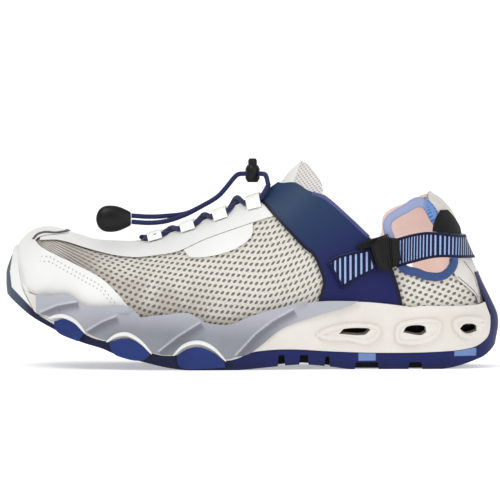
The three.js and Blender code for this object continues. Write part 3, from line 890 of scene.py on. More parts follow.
@dataclass(frozen=True)
class MouldedFinish:
    """Moulded rubber, foam or plastic with a fine grain."""

    name: str
    colour: Colour
    shade: Colour
    rough: float = 0.6
    grain: float = 0.5 * MM
    depth: float = 0.05 * MM
    coat: float = 0.0

    def build(self) -> bpy.types.Material:
        """Builds the material.

        Returns:
            The material.
        """
        paint = Paint(self.name)
        cloud = paint.noise(18 * MM, 3.0)
        grain = paint.noise(self.grain, 2.0)
        colour = paint.mix(cloud.step(0.35, 0.7), linear(*self.colour), linear(*self.shade))
        rough = grain * 0.14 + (self.rough - 0.07)
        return paint.finish(colour, rough, grain, self.depth, coat=self.coat)


@dataclass(frozen=True)
class MeshFinish:
    """Open knitted mesh. Towards the toe its rows of holes close into grey lines."""

    name: str = "mesh_cloth"
    first: tuple[float, float] = (3.14 * MM, -1.30 * MM)
    second: tuple[float, float] = (2.10 * MM, 2.85 * MM)
    thread: Colour = (0.90, 0.885, 0.85)
    shade: Colour = (0.80, 0.78, 0.74)
    hole: Colour = (0.40, 0.38, 0.37)
    taupe: Colour = (0.60, 0.56, 0.52)
    lines: int = 6

    def build(self) -> bpy.types.Material:
        """Builds the material.

        Returns:
            The material.
        """
        paint = Paint(self.name)
        x, _, z = paint.place()
        _, around = paint.flat()
        at_heel = x.step(60 * MM, 66 * MM)
        down = around.math("ABSOLUTE") * (at_heel - 1.0) + z * at_heel
        (ax, az), (bx, bz) = self.first, self.second
        spread = ax * bz - az * bx
        step_a = x * (bz / spread) - down * (bx / spread)
        step_b = down * (ax / spread) - x * (az / spread)
        wobble = paint.noise(6 * MM, 1.0) * 0.16
        weave = (step_a + wobble).wave(1.0) * (step_b + wobble).wave(1.0)
        hole = weave.step(0.30, 0.62)
        upper_edge = x * -0.35 + 36.0 * MM
        lower_edge = x * -0.62 - 2.5 * MM
        share = (z - lower_edge) / (upper_edge - lower_edge)
        line = share.wave(1.0 / self.lines).step(0.45, 0.85)
        at_toe = x.step(-84 * MM, -104 * MM)
        mark = hole * (1.0 - at_toe) + line * at_toe * 0.8
        yarn = paint.noise(0.8 * MM, 3.0)
        cloud = paint.noise(22 * MM, 2.0)
        front = x.step(20 * MM, -55 * MM) * (z + x * 0.25).step(52 * MM, 28 * MM)
        tip = x.step(-70 * MM, -108 * MM) * 0.5
        dull = (front * 0.75 + tip).math("MINIMUM", 1.0) * cloud.step(0.25, 0.55)
        base = paint.mix(yarn.step(0.3, 0.75), linear(*self.thread), linear(*self.shade))
        base = paint.mix(dull * 0.7, base, linear(*self.taupe))
        colour = paint.mix(mark * 0.92, base, linear(*self.hole))
        height = (1.0 - mark) + yarn * 0.3
        return paint.finish(colour, 0.85, height, 0.5 * MM, sheen=0.1)


@dataclass(frozen=True)
class ToeFilmFinish:
    """White toe film with two rows of pinholes along its upper edge."""

    name: str = "toe_film"
    colour: Colour = (0.93, 0.93, 0.92)
    shade: Colour = (0.90, 0.90, 0.89)
    pitch: float = 2.6 * MM
    rows: tuple[float, float] = (2.4 * MM, 4.9 * MM)

    def build(self) -> bpy.types.Material:
        """Builds the material.

        Returns:
            The material.
        """
        paint = Paint(self.name)
        x, y, z = paint.place()
        edge = (x + 118 * MM).math("MAXIMUM", 0.0) * -0.55 + 68.5 * MM
        steep = (x + 88 * MM).math("MAXIMUM", 0.0) * -0.65
        below = (edge + steep - z) * 0.85
        near = (x + z * -0.35).wave(self.pitch)
        dots = near.step(0.55, 0.9) * (below / (self.rows[1] - self.rows[0]) - 1.0).wave(1.0).step(0.6, 0.95)
        band = below.step(self.rows[0] - 1.2 * MM, self.rows[0]) * below.step(self.rows[1] + 1.2 * MM, self.rows[1])
        on = dots * band * x.step(-126 * MM, -120 * MM) * x.step(-74 * MM, -80 * MM)
        on = on * y.step(0.0, -8 * MM)
        grain = paint.noise(0.5 * MM, 3.0)
        cloud = paint.noise(25 * MM, 2.0)
        base = paint.mix(cloud.step(0.3, 0.7) * 0.6, linear(*self.colour), linear(*self.shade))
        colour = paint.mix(on * 0.55, base, linear(0.45, 0.44, 0.43))
        return paint.finish(colour, grain * 0.15 + 0.43, grain * 0.2 - on, 0.15 * MM)


@dataclass(frozen=True)
class SoleRubberFinish:
    """Outsole rubber: white over a slate strip at the toe, blue lugs, navy under the heel, and painted shade that
    darkens it near the ground and over the forefoot.
    """

    name: str = "sole_rubber"
    navy: Colour = (0.03, 0.09, 0.37)
    painted_shade: Colour = (0.02, 0.035, 0.15)
    lug: Colour = (0.13, 0.21, 0.45)
    slate: Colour = (0.22, 0.28, 0.36)
    white: Colour = (0.93, 0.93, 0.92)
    patch: Colour = (0.42, 0.52, 0.72)

    def build(self) -> bpy.types.Material:
        """Builds the material.

        Returns:
            The material.
        """
        paint = Paint(self.name)
        x, _, z = paint.place()
        grain = paint.noise(0.7 * MM, 3.0)
        cloud = paint.noise(14 * MM, 2.0)
        colour = paint.mix(cloud.step(0.3, 0.7), linear(*self.navy), linear(0.025, 0.075, 0.31))
        # Painted shade: the navy turns darker within 7 mm of the ground and over the forefoot, between and under the
        # lugs.
        low = z.step(7 * MM, 2 * MM)
        forefoot_shade = x.step(-8 * MM, -16 * MM)
        colour = paint.mix((low * 0.45 + forefoot_shade * 0.8).math("MINIMUM", 0.85), colour, linear(*self.painted_shade))
        front = x.step(-128 * MM, -136 * MM)
        colour = paint.mix(front, colour, linear(*self.slate))
        strip = (z - 56 * MM).math("ABSOLUTE") * 0.13 - 142.2 * MM
        under = (47 * MM - z).math("MAXIMUM", 0.0) * 0.95
        inside = (x - strip - under).step(-0.4 * MM, 0.4 * MM)
        over = (z + x * 0.55).step(-37.5 * MM, -36.5 * MM)
        at_toe = x.step(-112 * MM, -116 * MM)
        colour = paint.mix(inside * over * at_toe, colour, linear(*self.white))
        for start, end, low_z, high_z in ((62, 72, 5, 9.5), (118, 131, 7.5, 12)):
            wide = x.step((start - 0.4) * MM, (start + 0.4) * MM) * x.step((end + 0.4) * MM, (end - 0.4) * MM)
            tall = z.step((low_z - 0.3) * MM, (low_z + 0.3) * MM) * z.step((high_z + 0.3) * MM, (high_z - 0.3) * MM)
            colour = paint.mix(wide * tall, colour, linear(*self.patch))
        return paint.finish(colour, grain * 0.15 + 0.48, grain, 0.06 * MM)


@dataclass(frozen=True)
class RingFinish:
    """Knitted roll: lavender along the top, light blue with stitches behind, and slate blue below as painted shade."""

    name: str = "blue_roll"
    top: Colour = (0.60, 0.64, 0.78)
    back: Colour = (0.42, 0.56, 0.78)
    low: Colour = (0.22, 0.31, 0.50)
    stitch: Colour = (0.17, 0.32, 0.62)

    def build(self) -> bpy.types.Material:
        """Builds the material.

        Returns:
            The material.
        """
        paint = Paint(self.name)
        x, _, z = paint.place()
        along, across_it = paint.flat()
        rib = along.wave(0.9 * MM) * across_it.wave(0.9 * MM)
        fuzz = paint.noise(0.5 * MM, 2.0)
        behind = (x + z * 0.15).step(113.5 * MM, 117.5 * MM)
        # Painted shade: the lower side of the roll turns darker slate blue.
        under = (z - x * 0.05).step(62 * MM, 56 * MM)
        colour = paint.mix(behind, linear(*self.top), linear(*self.back))
        stitch = along.wave(2.2 * MM).step(0.55, 0.8) * behind * across_it.math("ABSOLUTE").step(0.7 * MM, 1.1 * MM)
        colour = paint.mix(stitch * 0.8, colour, linear(*self.stitch))
        colour = paint.mix(under, colour, linear(*self.low))
        return paint.finish(colour, 0.85, rib * 0.5 + fuzz * 0.5, 0.12 * MM, sheen=0.2)


@dataclass(frozen=True)
class GuardFinish:
    """Grey moulded film with painted light: lighter along the top, darker low down and in its scoops, with a painted
    highlight along each crest.
    """

    name: str = "grey_guard"
    top: Colour = (0.68, 0.685, 0.72)
    low: Colour = (0.50, 0.51, 0.54)
    crest: Colour = (0.80, 0.81, 0.84)
    scoop_shade: Colour = (0.40, 0.41, 0.45)

    def build(self) -> bpy.types.Material:
        """Builds the material.

        Returns:
            The material.
        """
        paint = Paint(self.name)
        x, _, z = paint.place()
        grain = paint.noise(0.6 * MM, 3.0)
        cloud = paint.noise(16 * MM, 2.0)
        # Painted shade: behind the toe the guard turns darker towards its lower edge, with some random tone mixed in.
        low = (z + x * 0.06).step(34 * MM, 15 * MM) * (cloud * 0.5 + 0.6) * x.step(-118 * MM, -80 * MM)
        colour = paint.mix(low, linear(*self.top), linear(*self.low))
        for line in CRESTS:
            for (x0, z0), (x1, z1) in zip(line[:-1], line[1:]):
                length = math.hypot(x1 - x0, z1 - z0)
                right, up = (x1 - x0) / length, (z1 - z0) / length
                far = (x - x0 * MM) * right + (z - z0 * MM) * up
                down = (x - x0 * MM) * up - (z - z0 * MM) * right
                within = far.step(-0.6 * MM, 0.6 * MM) * far.step((length + 0.6) * MM, (length - 0.6) * MM)
                # Painted shade in the hollow under each crest, and a painted highlight along the crest itself.
                shade = down.step(-0.2 * MM, 0.8 * MM) * down.step(7 * MM, 1.5 * MM) * within
                colour = paint.mix(shade * 0.75, colour, linear(*self.scoop_shade))
                light = down.step(-1.6 * MM, -0.5 * MM) * down.step(0.3 * MM, -0.3 * MM) * within
                colour = paint.mix(light * 0.55, colour, linear(*self.crest))
        return paint.finish(colour, grain * 0.15 + 0.38, grain, 0.05 * MM)


@dataclass(frozen=True)
class TongueFinish:
    """Ribbed padded mesh, with a smooth white patch in front and a near-black painted shadow along its rear end."""

    name: str = "tongue_cloth"
    thread: Colour = (0.90, 0.89, 0.88)
    shade: Colour = (0.70, 0.69, 0.68)
    white: Colour = (0.94, 0.94, 0.93)
    edge: Colour = (0.10, 0.11, 0.16)

    def build(self) -> bpy.types.Material:
        """Builds the material.

        Returns:
            The material.
        """
        paint = Paint(self.name)
        x, _, z = paint.place()
        yarn = paint.noise(0.7 * MM, 3.0)
        rib = (x * 0.8 + z * 0.6).wave(1.9 * MM) * (z - x * 0.55).wave(1.6 * MM)
        colour = paint.mix(rib.step(0.2, 0.8), linear(*self.thread), linear(*self.shade))
        smooth = (x - (z - 110 * MM) * 0.35).step(25.5 * MM, 24.5 * MM)
        colour = paint.mix(smooth, colour, linear(*self.white))
        # Painted shadow: a near-black band along the tongue's rear end.
        rear = (x + z * 0.12).step(53.3 * MM, 54.3 * MM)
        colour = paint.mix(rear, colour, linear(*self.edge))
        height = (rib * -1.0 + 1.0) * (smooth * -1.0 + 1.0) + yarn * 0.2
        return paint.finish(colour, 0.8, height, 0.5 * MM, sheen=0.1)


@dataclass(frozen=True)
class FilmFinish:
    """Smooth welded film."""

    name: str
    colour: Colour
    shade: Colour
    rough: float = 0.5

    def build(self) -> bpy.types.Material:
        """Builds the material.

        Returns:
            The material.
        """
        paint = Paint(self.name)
        grain = paint.noise(0.5 * MM, 3.0)
        cloud = paint.noise(25 * MM, 2.0)
        colour = paint.mix(cloud.step(0.3, 0.7) * 0.6, linear(*self.colour), linear(*self.shade))
        return paint.finish(colour, grain * 0.15 + (self.rough - 0.07), grain, 0.03 * MM)


@dataclass(frozen=True)
class SaddleFinish:
    """Film that goes from teal navy at the top to deep navy at the sole."""

    name: str = "navy_film"
    top: Colour = (0.115, 0.215, 0.345)
    bottom: Colour = (0.01, 0.055, 0.32)

    def build(self) -> bpy.types.Material:
        """Builds the material.

        Returns:
            The material.
        """
        paint = Paint(self.name)
        x, _, z = paint.place()
        grain = paint.noise(0.6 * MM, 3.0)
        fade = (z - x * 0.6).step(20 * MM, 85 * MM)
        colour = paint.mix(fade, linear(*self.bottom), linear(*self.top))
        return paint.finish(colour, grain * 0.2 + 0.4, grain, 0.04 * MM)


@dataclass(frozen=True)
class KnitFinish:
    """Fine knitted or brushed fabric."""

    name: str
    colour: Colour
    shade: Colour
    pitch: float = 1.0 * MM
    depth: float = 0.12 * MM
    painted_glow: float = 0.0

    def build(self) -> bpy.types.Material:
        """Builds the material.

        Returns:
            The material.
        """
        paint = Paint(self.name)
        # Painted light: the fabric gives off light of its own colour, which the pink lining uses to look brighter
        # inside the shoe.
        paint.shader.inputs["Emission Color"].default_value = (*linear(*self.colour), 1)
        paint.shader.inputs["Emission Strength"].default_value = self.painted_glow
        x, y, z = paint.place()
        weave = (x + z * 0.4 + y * 0.3).wave(self.pitch) * (z - y * 0.6).wave(self.pitch)
        fuzz = paint.noise(0.5 * MM, 3.0)
        cloud = paint.noise(15 * MM, 2.0)
        colour = paint.mix(cloud.step(0.3, 0.75), linear(*self.colour), linear(*self.shade))
        colour = paint.mix(weave * 0.25, colour, linear(*self.shade))
        return paint.finish(colour, 0.9, weave * 0.6 + fuzz, self.depth, sheen=0.25)


@dataclass(frozen=True)
class WebbingFinish:
    """Ribbed webbing, with narrow cross stripes where it has any."""

    name: str
    colour: Colour
    stripe: Colour | None = None
    pitch: float = 2.7 * MM
    share: float = 0.32

    def build(self) -> bpy.types.Material:
        """Builds the material.

        Returns:
            The material.
        """
        paint = Paint(self.name)
        along, across = paint.flat()
        rib = across.wave(1.1 * MM) * along.wave(0.7 * MM)
        fuzz = paint.noise(0.4 * MM, 2.0)
        colour = paint.mix(fuzz.step(0.4, 0.8) * 0.5, linear(*self.colour), linear(*[c * 1.5 for c in self.colour]))
        if self.stripe:
            cut = math.cos(math.pi * self.share) * 0.5 + 0.5
            on = along.wave(self.pitch).step(cut - 0.12, cut + 0.12)
            colour = paint.mix(on, colour, linear(*self.stripe))
        return paint.finish(colour, 0.85, rib * 0.8 + fuzz * 0.3, 0.2 * MM, sheen=0.1)


@dataclass(frozen=True)
class CordFinish:
    """Round braided elastic."""

    name: str = "navy_cord"
    colour: Colour = (0.05, 0.07, 0.20)
    light: Colour = (0.13, 0.17, 0.36)

    def build(self) -> bpy.types.Material:
        """Builds the material.

        Returns:
            The material.
        """
        paint = Paint(self.name)
        x, y, z = paint.place()
        braid = (x + y * 0.8).wave(1.3 * MM) * (x - y * 0.8 + z * 0.5).wave(1.3 * MM)
        colour = paint.mix(braid, linear(*self.light), linear(*self.colour))
        return paint.finish(colour, 0.75, braid, 0.15 * MM, sheen=0.1)


@dataclass
class Looks:
    """Every material of the shoe."""

    rubber: bpy.types.Material = field(
        default_factory=lambda: SoleRubberFinish().build())
    lug: bpy.types.Material = field(
        default_factory=lambda: MouldedFinish("lug_rubber", (0.10, 0.19, 0.44), (0.08, 0.16, 0.39), 0.5).build())
    toe: bpy.types.Material = field(default_factory=lambda: ToeFilmFinish().build())
    foam: bpy.types.Material = field(
        default_factory=lambda: MouldedFinish("foam", (0.885, 0.865, 0.84), (0.865, 0.845, 0.815), 0.75, 0.9 * MM).build())
    guard: bpy.types.Material = field(default_factory=lambda: GuardFinish().build())
    tongue: bpy.types.Material = field(default_factory=lambda: TongueFinish().build())
    bead: bpy.types.Material = field(
        default_factory=lambda: MouldedFinish("white_bead", (0.92, 0.92, 0.91), (0.89, 0.89, 0.88), 0.5).build())
    piping: bpy.types.Material = field(
        default_factory=lambda: MouldedFinish("navy_piping_and_groove_shade", (0.01, 0.025, 0.15), (0.01, 0.02, 0.11), 0.45).build())
    binding: bpy.types.Material = field(
        default_factory=lambda: KnitFinish("lavender_binding", (0.36, 0.38, 0.60), (0.28, 0.30, 0.50)).build())
    heel: bpy.types.Material = field(
        default_factory=lambda: KnitFinish("heel_cloth", (0.89, 0.88, 0.86), (0.83, 0.81, 0.79)).build())
    # Grey for stitch lines, also used as painted shadow along the toe cap's rear edge.
    shadow: bpy.types.Material = field(
        default_factory=lambda: MouldedFinish("grey_stitch_and_painted_shadow", (0.36, 0.35, 0.35), (0.30, 0.29, 0.29), 0.7).build())
    mesh: bpy.types.Material = field(default_factory=lambda: MeshFinish().build())
    white: bpy.types.Material = field(
        default_factory=lambda: FilmFinish("white_film", (0.93, 0.93, 0.92), (0.90, 0.90, 0.89)).build())
    saddle: bpy.types.Material = field(default_factory=lambda: SaddleFinish().build())
    # The pink lining glows a little as painted light, to look brighter inside the shoe.
    lining: bpy.types.Material = field(
        default_factory=lambda: KnitFinish("pink_lining", (0.95, 0.88, 0.85), (0.92, 0.83, 0.80), painted_glow=0.16).build())
    roll: bpy.types.Material = field(
        default_factory=lambda: RingFinish().build())
    strap: bpy.types.Material = field(
        default_factory=lambda: WebbingFinish("navy_webbing", (0.04, 0.06, 0.22), (0.62, 0.72, 0.90), 3.2 * MM, 0.36).build())
    border: bpy.types.Material = field(
        default_factory=lambda: WebbingFinish("plain_webbing", (0.035, 0.05, 0.19)).build())
    black_webbing: bpy.types.Material = field(
        default_factory=lambda: WebbingFinish("black_webbing", (0.035, 0.035, 0.045)).build())
    white_webbing: bpy.types.Material = field(
        default_factory=lambda: WebbingFinish("white_webbing", (0.92, 0.92, 0.91)).build())
    cord: bpy.types.Material = field(default_factory=lambda: CordFinish().build())
    plastic: bpy.types.Material = field(
        default_factory=lambda: MouldedFinish("black_plastic", (0.035, 0.035, 0.045), (0.03, 0.03, 0.035), 0.4,
                                              0.3 * MM, 0.03 * MM).build())


REACH = 400 * MM
FIT = 0.3 * MM
WALL = 2 * MM
FILM = 1.2 * MM
RIM_LINE = on_sole((
    (0.000, 1.98), (0.030, 1.86), (0.067, 1.70), (0.095, 1.60), (0.124, 1.58), (0.152, 1.47),
    (0.200, 1.40), (0.252, 1.36), (0.275, 1.15), (0.328, 1.18), (0.371, 1.22), (0.411, 1.02),
    (0.456, 1.00), (0.493, 1.13), (0.564, 1.36), (0.593, 1.45), (0.638, 1.52), (0.715, 1.57),
    (0.771, 1.52), (0.820, 1.45), (0.840, 1.47), (0.950, 1.48), (0.977, 1.56), (1.000, 1.60),
))
OPENING = on_upper((
    (0.500, 2.50), (0.515, 1.22), (0.535, 1.085), (0.560, 1.075), (0.579, 1.081), (0.591, 1.073),
    (0.613, 1.020), (0.648, 0.971), (0.740, 0.653), (0.757, 0.628), (0.765, 0.672), (0.768, 0.802),
    (0.783, 0.863), (0.813, 0.911), (0.844, 0.971), (0.857, 0.995), (0.870, 1.060), (0.900, 2.50),
))
LATERAL_HOLE = on_upper((
    (0.785, 0.690), (0.780, 0.756), (0.787, 0.795), (0.807, 0.837), (0.839, 0.891), (0.860, 0.785),
    (0.897, 0.504), (0.883, 0.412), (0.854, 0.407), (0.835, 0.433), (0.808, 0.468),
))
MEDIAL_HOLE = on_upper((
    (0.752, 0.488), (0.781, 0.550), (0.809, 0.511), (0.828, 0.458), (0.824, 0.374), (0.801, 0.320),
    (0.768, 0.335), (0.750, 0.404),
))
RING_WIDTH = 5 * MM
THROAT_HALF = 10 * MM


def across(side: Side) -> tuple[float, float]:
    """Gives where a cut on one side starts and ends across the shoe.

    Args:
        side: The side.

    Returns:
        The two places on Y.
    """
    return {Side.LATERAL: (-REACH, 0), Side.MEDIAL: (0, REACH), Side.BOTH: (-REACH, REACH)}[side]


def along_shoe(u: float) -> float:
    """Turns a share of the length into a place.

    Args:
        u: The share from the toe.

    Returns:
        x in metres.
    """
    return (u - 0.5) * Last.LENGTH


def slot_half(u: float) -> float:
    """Gives half the width of the throat slot, wider towards the ankle.

    Args:
        u: Share of the length from the toe.

    Returns:
        Half the width in metres.
    """
    return THROAT_HALF * (0.5 + 1.1 * u)


def above(line: np.ndarray, clearance: float) -> bpy.types.Object:
    """Makes a solid of all that is over a line that runs from toe to heel.

    Args:
        line: The line in the side view.
        clearance: How far over it the solid starts.

    Returns:
        The solid.
    """
    raised = line + np.array([0, clearance])
    ends = [(-REACH, raised[0, 1])], [(REACH, raised[-1, 1]), (REACH, REACH), (-REACH, REACH)]
    return prism(np.concatenate([ends[0], raised, ends[1]]), -REACH, REACH)


def bed_line() -> np.ndarray:
    """Gives the footbed in the side view.

    Returns:
        Its line from toe to heel.
    """
    x = np.linspace(Last.TOE, Last.HEEL, 40)
    return np.stack([x, Last.section(x)["bed"]], -1)


def throat_slot() -> bpy.types.Object:
    """Makes the slot under the lace, round at its toe end.

    Returns:
        A solid to cut with.
    """
    shares = np.linspace(0.27, 0.62, 14)
    x = along_shoe(shares)
    centre = Last.section(x)["centre"]
    lateral = np.stack([x, centre - slot_half(shares)], -1)
    medial = np.stack([x, centre + slot_half(shares)], -1)
    tip = along_shoe(0.258)
    outline = np.concatenate([lateral, medial[::-1], [(tip, float(Last.section(tip)["centre"]))]])
    return prism(outline, Last.BED_HEIGHT + Last.TUCK_HEIGHT, REACH, axis=2)


def sharpen(piece: bpy.types.Object, degrees: float = 35) -> bpy.types.Object:
    """Shades a cut piece smooth, but for its edges.

    Args:
        piece: The piece.
        degrees: Edges sharper than this stay sharp.

    Returns:
        The same piece.
    """
    piece.data.shade_smooth()
    piece.data.set_sharp_from_angle(angle=math.radians(degrees))
    return piece


class Builder:
    """What every sub-assembly works with."""

    def __init__(self, skins: Skins, looks: Looks) -> None:
        """Keeps the shared forms and materials.

        Args:
            skins: The skins of the last and sole.
            looks: The materials.
        """
        self.skins = skins
        self.looks = looks

    def place(self, piece: bpy.types.Object, name: str, slot: str, *nodes: str) -> bpy.types.Object:
        """Names a finished piece and ties it to the frame.

        Args:
            piece: The piece.
            name: Its name.
            slot: The record's material slot; not used.
            nodes: The CAD nodes that it stands for.

        Returns:
            The same piece.
        """
        piece.name = name
        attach(piece, "root")
        if nodes:
            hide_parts(*nodes)
        log.info("made %s with %d faces", name, len(getattr(piece.data, "polygons", ())))
        return piece

    def panel(self, outline: np.ndarray, inner: float, outer: float, side: Side,
              look: bpy.types.Material, relief: Callable | None = None) -> bpy.types.Object:
        """Cuts a panel out of a shell round the last.

        Args:
            outline: Its outline in the side view.
            inner: Growth of its inner face.
            outer: Growth of its outer face.
            side: The side that it is on.
            look: Its material.
            relief: Extra height of its outer face.

        Returns:
            The panel.
        """
        body = self.skins.last(outer, look, relief)
        combine(body, self.skins.last(inner, look), "DIFFERENCE")
        return combine(body, prism(outline, *across(side), look), "INTERSECT")

    def film(self, outline: np.ndarray, side: Side, look: bpy.types.Material,
             trims: Sequence[np.ndarray] = (), extra: float = 0.0) -> bpy.types.Object:
        """Cuts a film that keeps off the sole's rim, the collar and the throat.

        Args:
            outline: Its outline in the side view.
            side: The side that it is on.
            look: Its material.
            trims: Outlines of the pieces that it keeps off.
            extra: What it is thicker than the other films.

        Returns:
            The film.
        """
        body = self.panel(outline, FIT, FIT + FILM + extra, side, look)
        combine(body, above(RIM_LINE, FIT), "INTERSECT")
        combine(body, prism(smooth_outline(OPENING), -REACH, REACH, look), "DIFFERENCE")
        combine(body, throat_slot(), "DIFFERENCE")
        for trim in trims:
            combine(body, prism(grown(trim, FIT), *across(side), look), "DIFFERENCE")
        return sharpen(body)


class Wall:
    """Finds places on the sole's wall from the side view."""

    def __init__(self, skins: Skins) -> None:
        """Prepares the wall.

        Args:
            skins: The skins.
        """
        skin = skins.sole(0)
        bm = bmesh.new()
        bm.from_mesh(skin.data)
        self.tree = BVHTree.FromBMesh(bm)
        bm.free()
        bpy.data.objects.remove(skin)

    def lay(self, path: np.ndarray, side: Side, grow: float) -> tuple[np.ndarray, np.ndarray]:
        """Lays a line of the side view onto the wall.

        Args:
            path: The line.
            side: The side of the shoe.
            grow: Distance out from the wall.

        Returns:
            The points and the outward normals there.
        """
        points, normals = [], []
        for x, z in path:
            hit, normal, _, _ = self.tree.ray_cast(Vector((x, side.value * REACH, z)), Vector((0, -side.value, 0)))
            if hit is None:
                hit, normal, _, _ = self.tree.find_nearest(Vector((x, side.value * 40 * MM, z)))
            outward = normal if normal.y * side.value > 0 else -normal
            points.append(hit + outward * grow)
            normals.append(outward)
        return np.array(points), np.array(normals)


CRESTS = (
    ((-9.3, 8.5), (2.2, 21.0), (12.0, 28.6), (24.1, 35.2)),
    ((-54.1, 10.7), (-42.9, 19.6), (-29.8, 27.9)),
    ((-96.2, 22.5), (-87.0, 28.0), (-78.5, 31.4)),
    ((-123.5, 33.0), (-113.0, 37.5), (-101.0, 39.7)),
)


def scoops(points: np.ndarray) -> np.ndarray:
    """Gives the guard's ridges, each with a scooped hollow under it.

    Args:
        points: Points of the sole's wall.

    Returns:
        The height at each point.
    """
    ridge, hollow, reach, fade = 0.9 * MM, 1.7 * MM, 4.5 * MM, 4 * MM
    place = points[..., (0, 2)]
    height = np.zeros(place.shape[:-1])
    for crest in CRESTS:
        line = smooth_outline(np.array(crest) * MM, 4, closed=False)
        best = np.full(height.shape, np.inf)
        found = np.zeros(height.shape)
        for start, end in zip(line[:-1], line[1:]):
            way = end - start
            share = np.clip(((place - start) @ way) / (way @ way), 0, 1)
            offset = place - start - share[..., None] * way
            distance = np.linalg.norm(offset, axis=-1)
            below = np.where(way[0] * offset[..., 1] - way[1] * offset[..., 0] < 0, 1, -1)
            along = np.minimum(np.linalg.norm(place - line[0], axis=-1), np.linalg.norm(place - line[-1], axis=-1))
            ease = np.clip(along / fade, 0, 1)
            down = distance / reach
            shape = ridge * np.exp(-((distance / (1.1 * MM)) ** 2))
            shape = shape - np.where(below > 0, hollow * down * np.exp(1 - down), 0)
            nearer = distance < best
            best = np.where(nearer, distance, best)
            found = np.where(nearer, shape * ease, found)
        height += found
    return np.clip(height, -hollow, ridge)


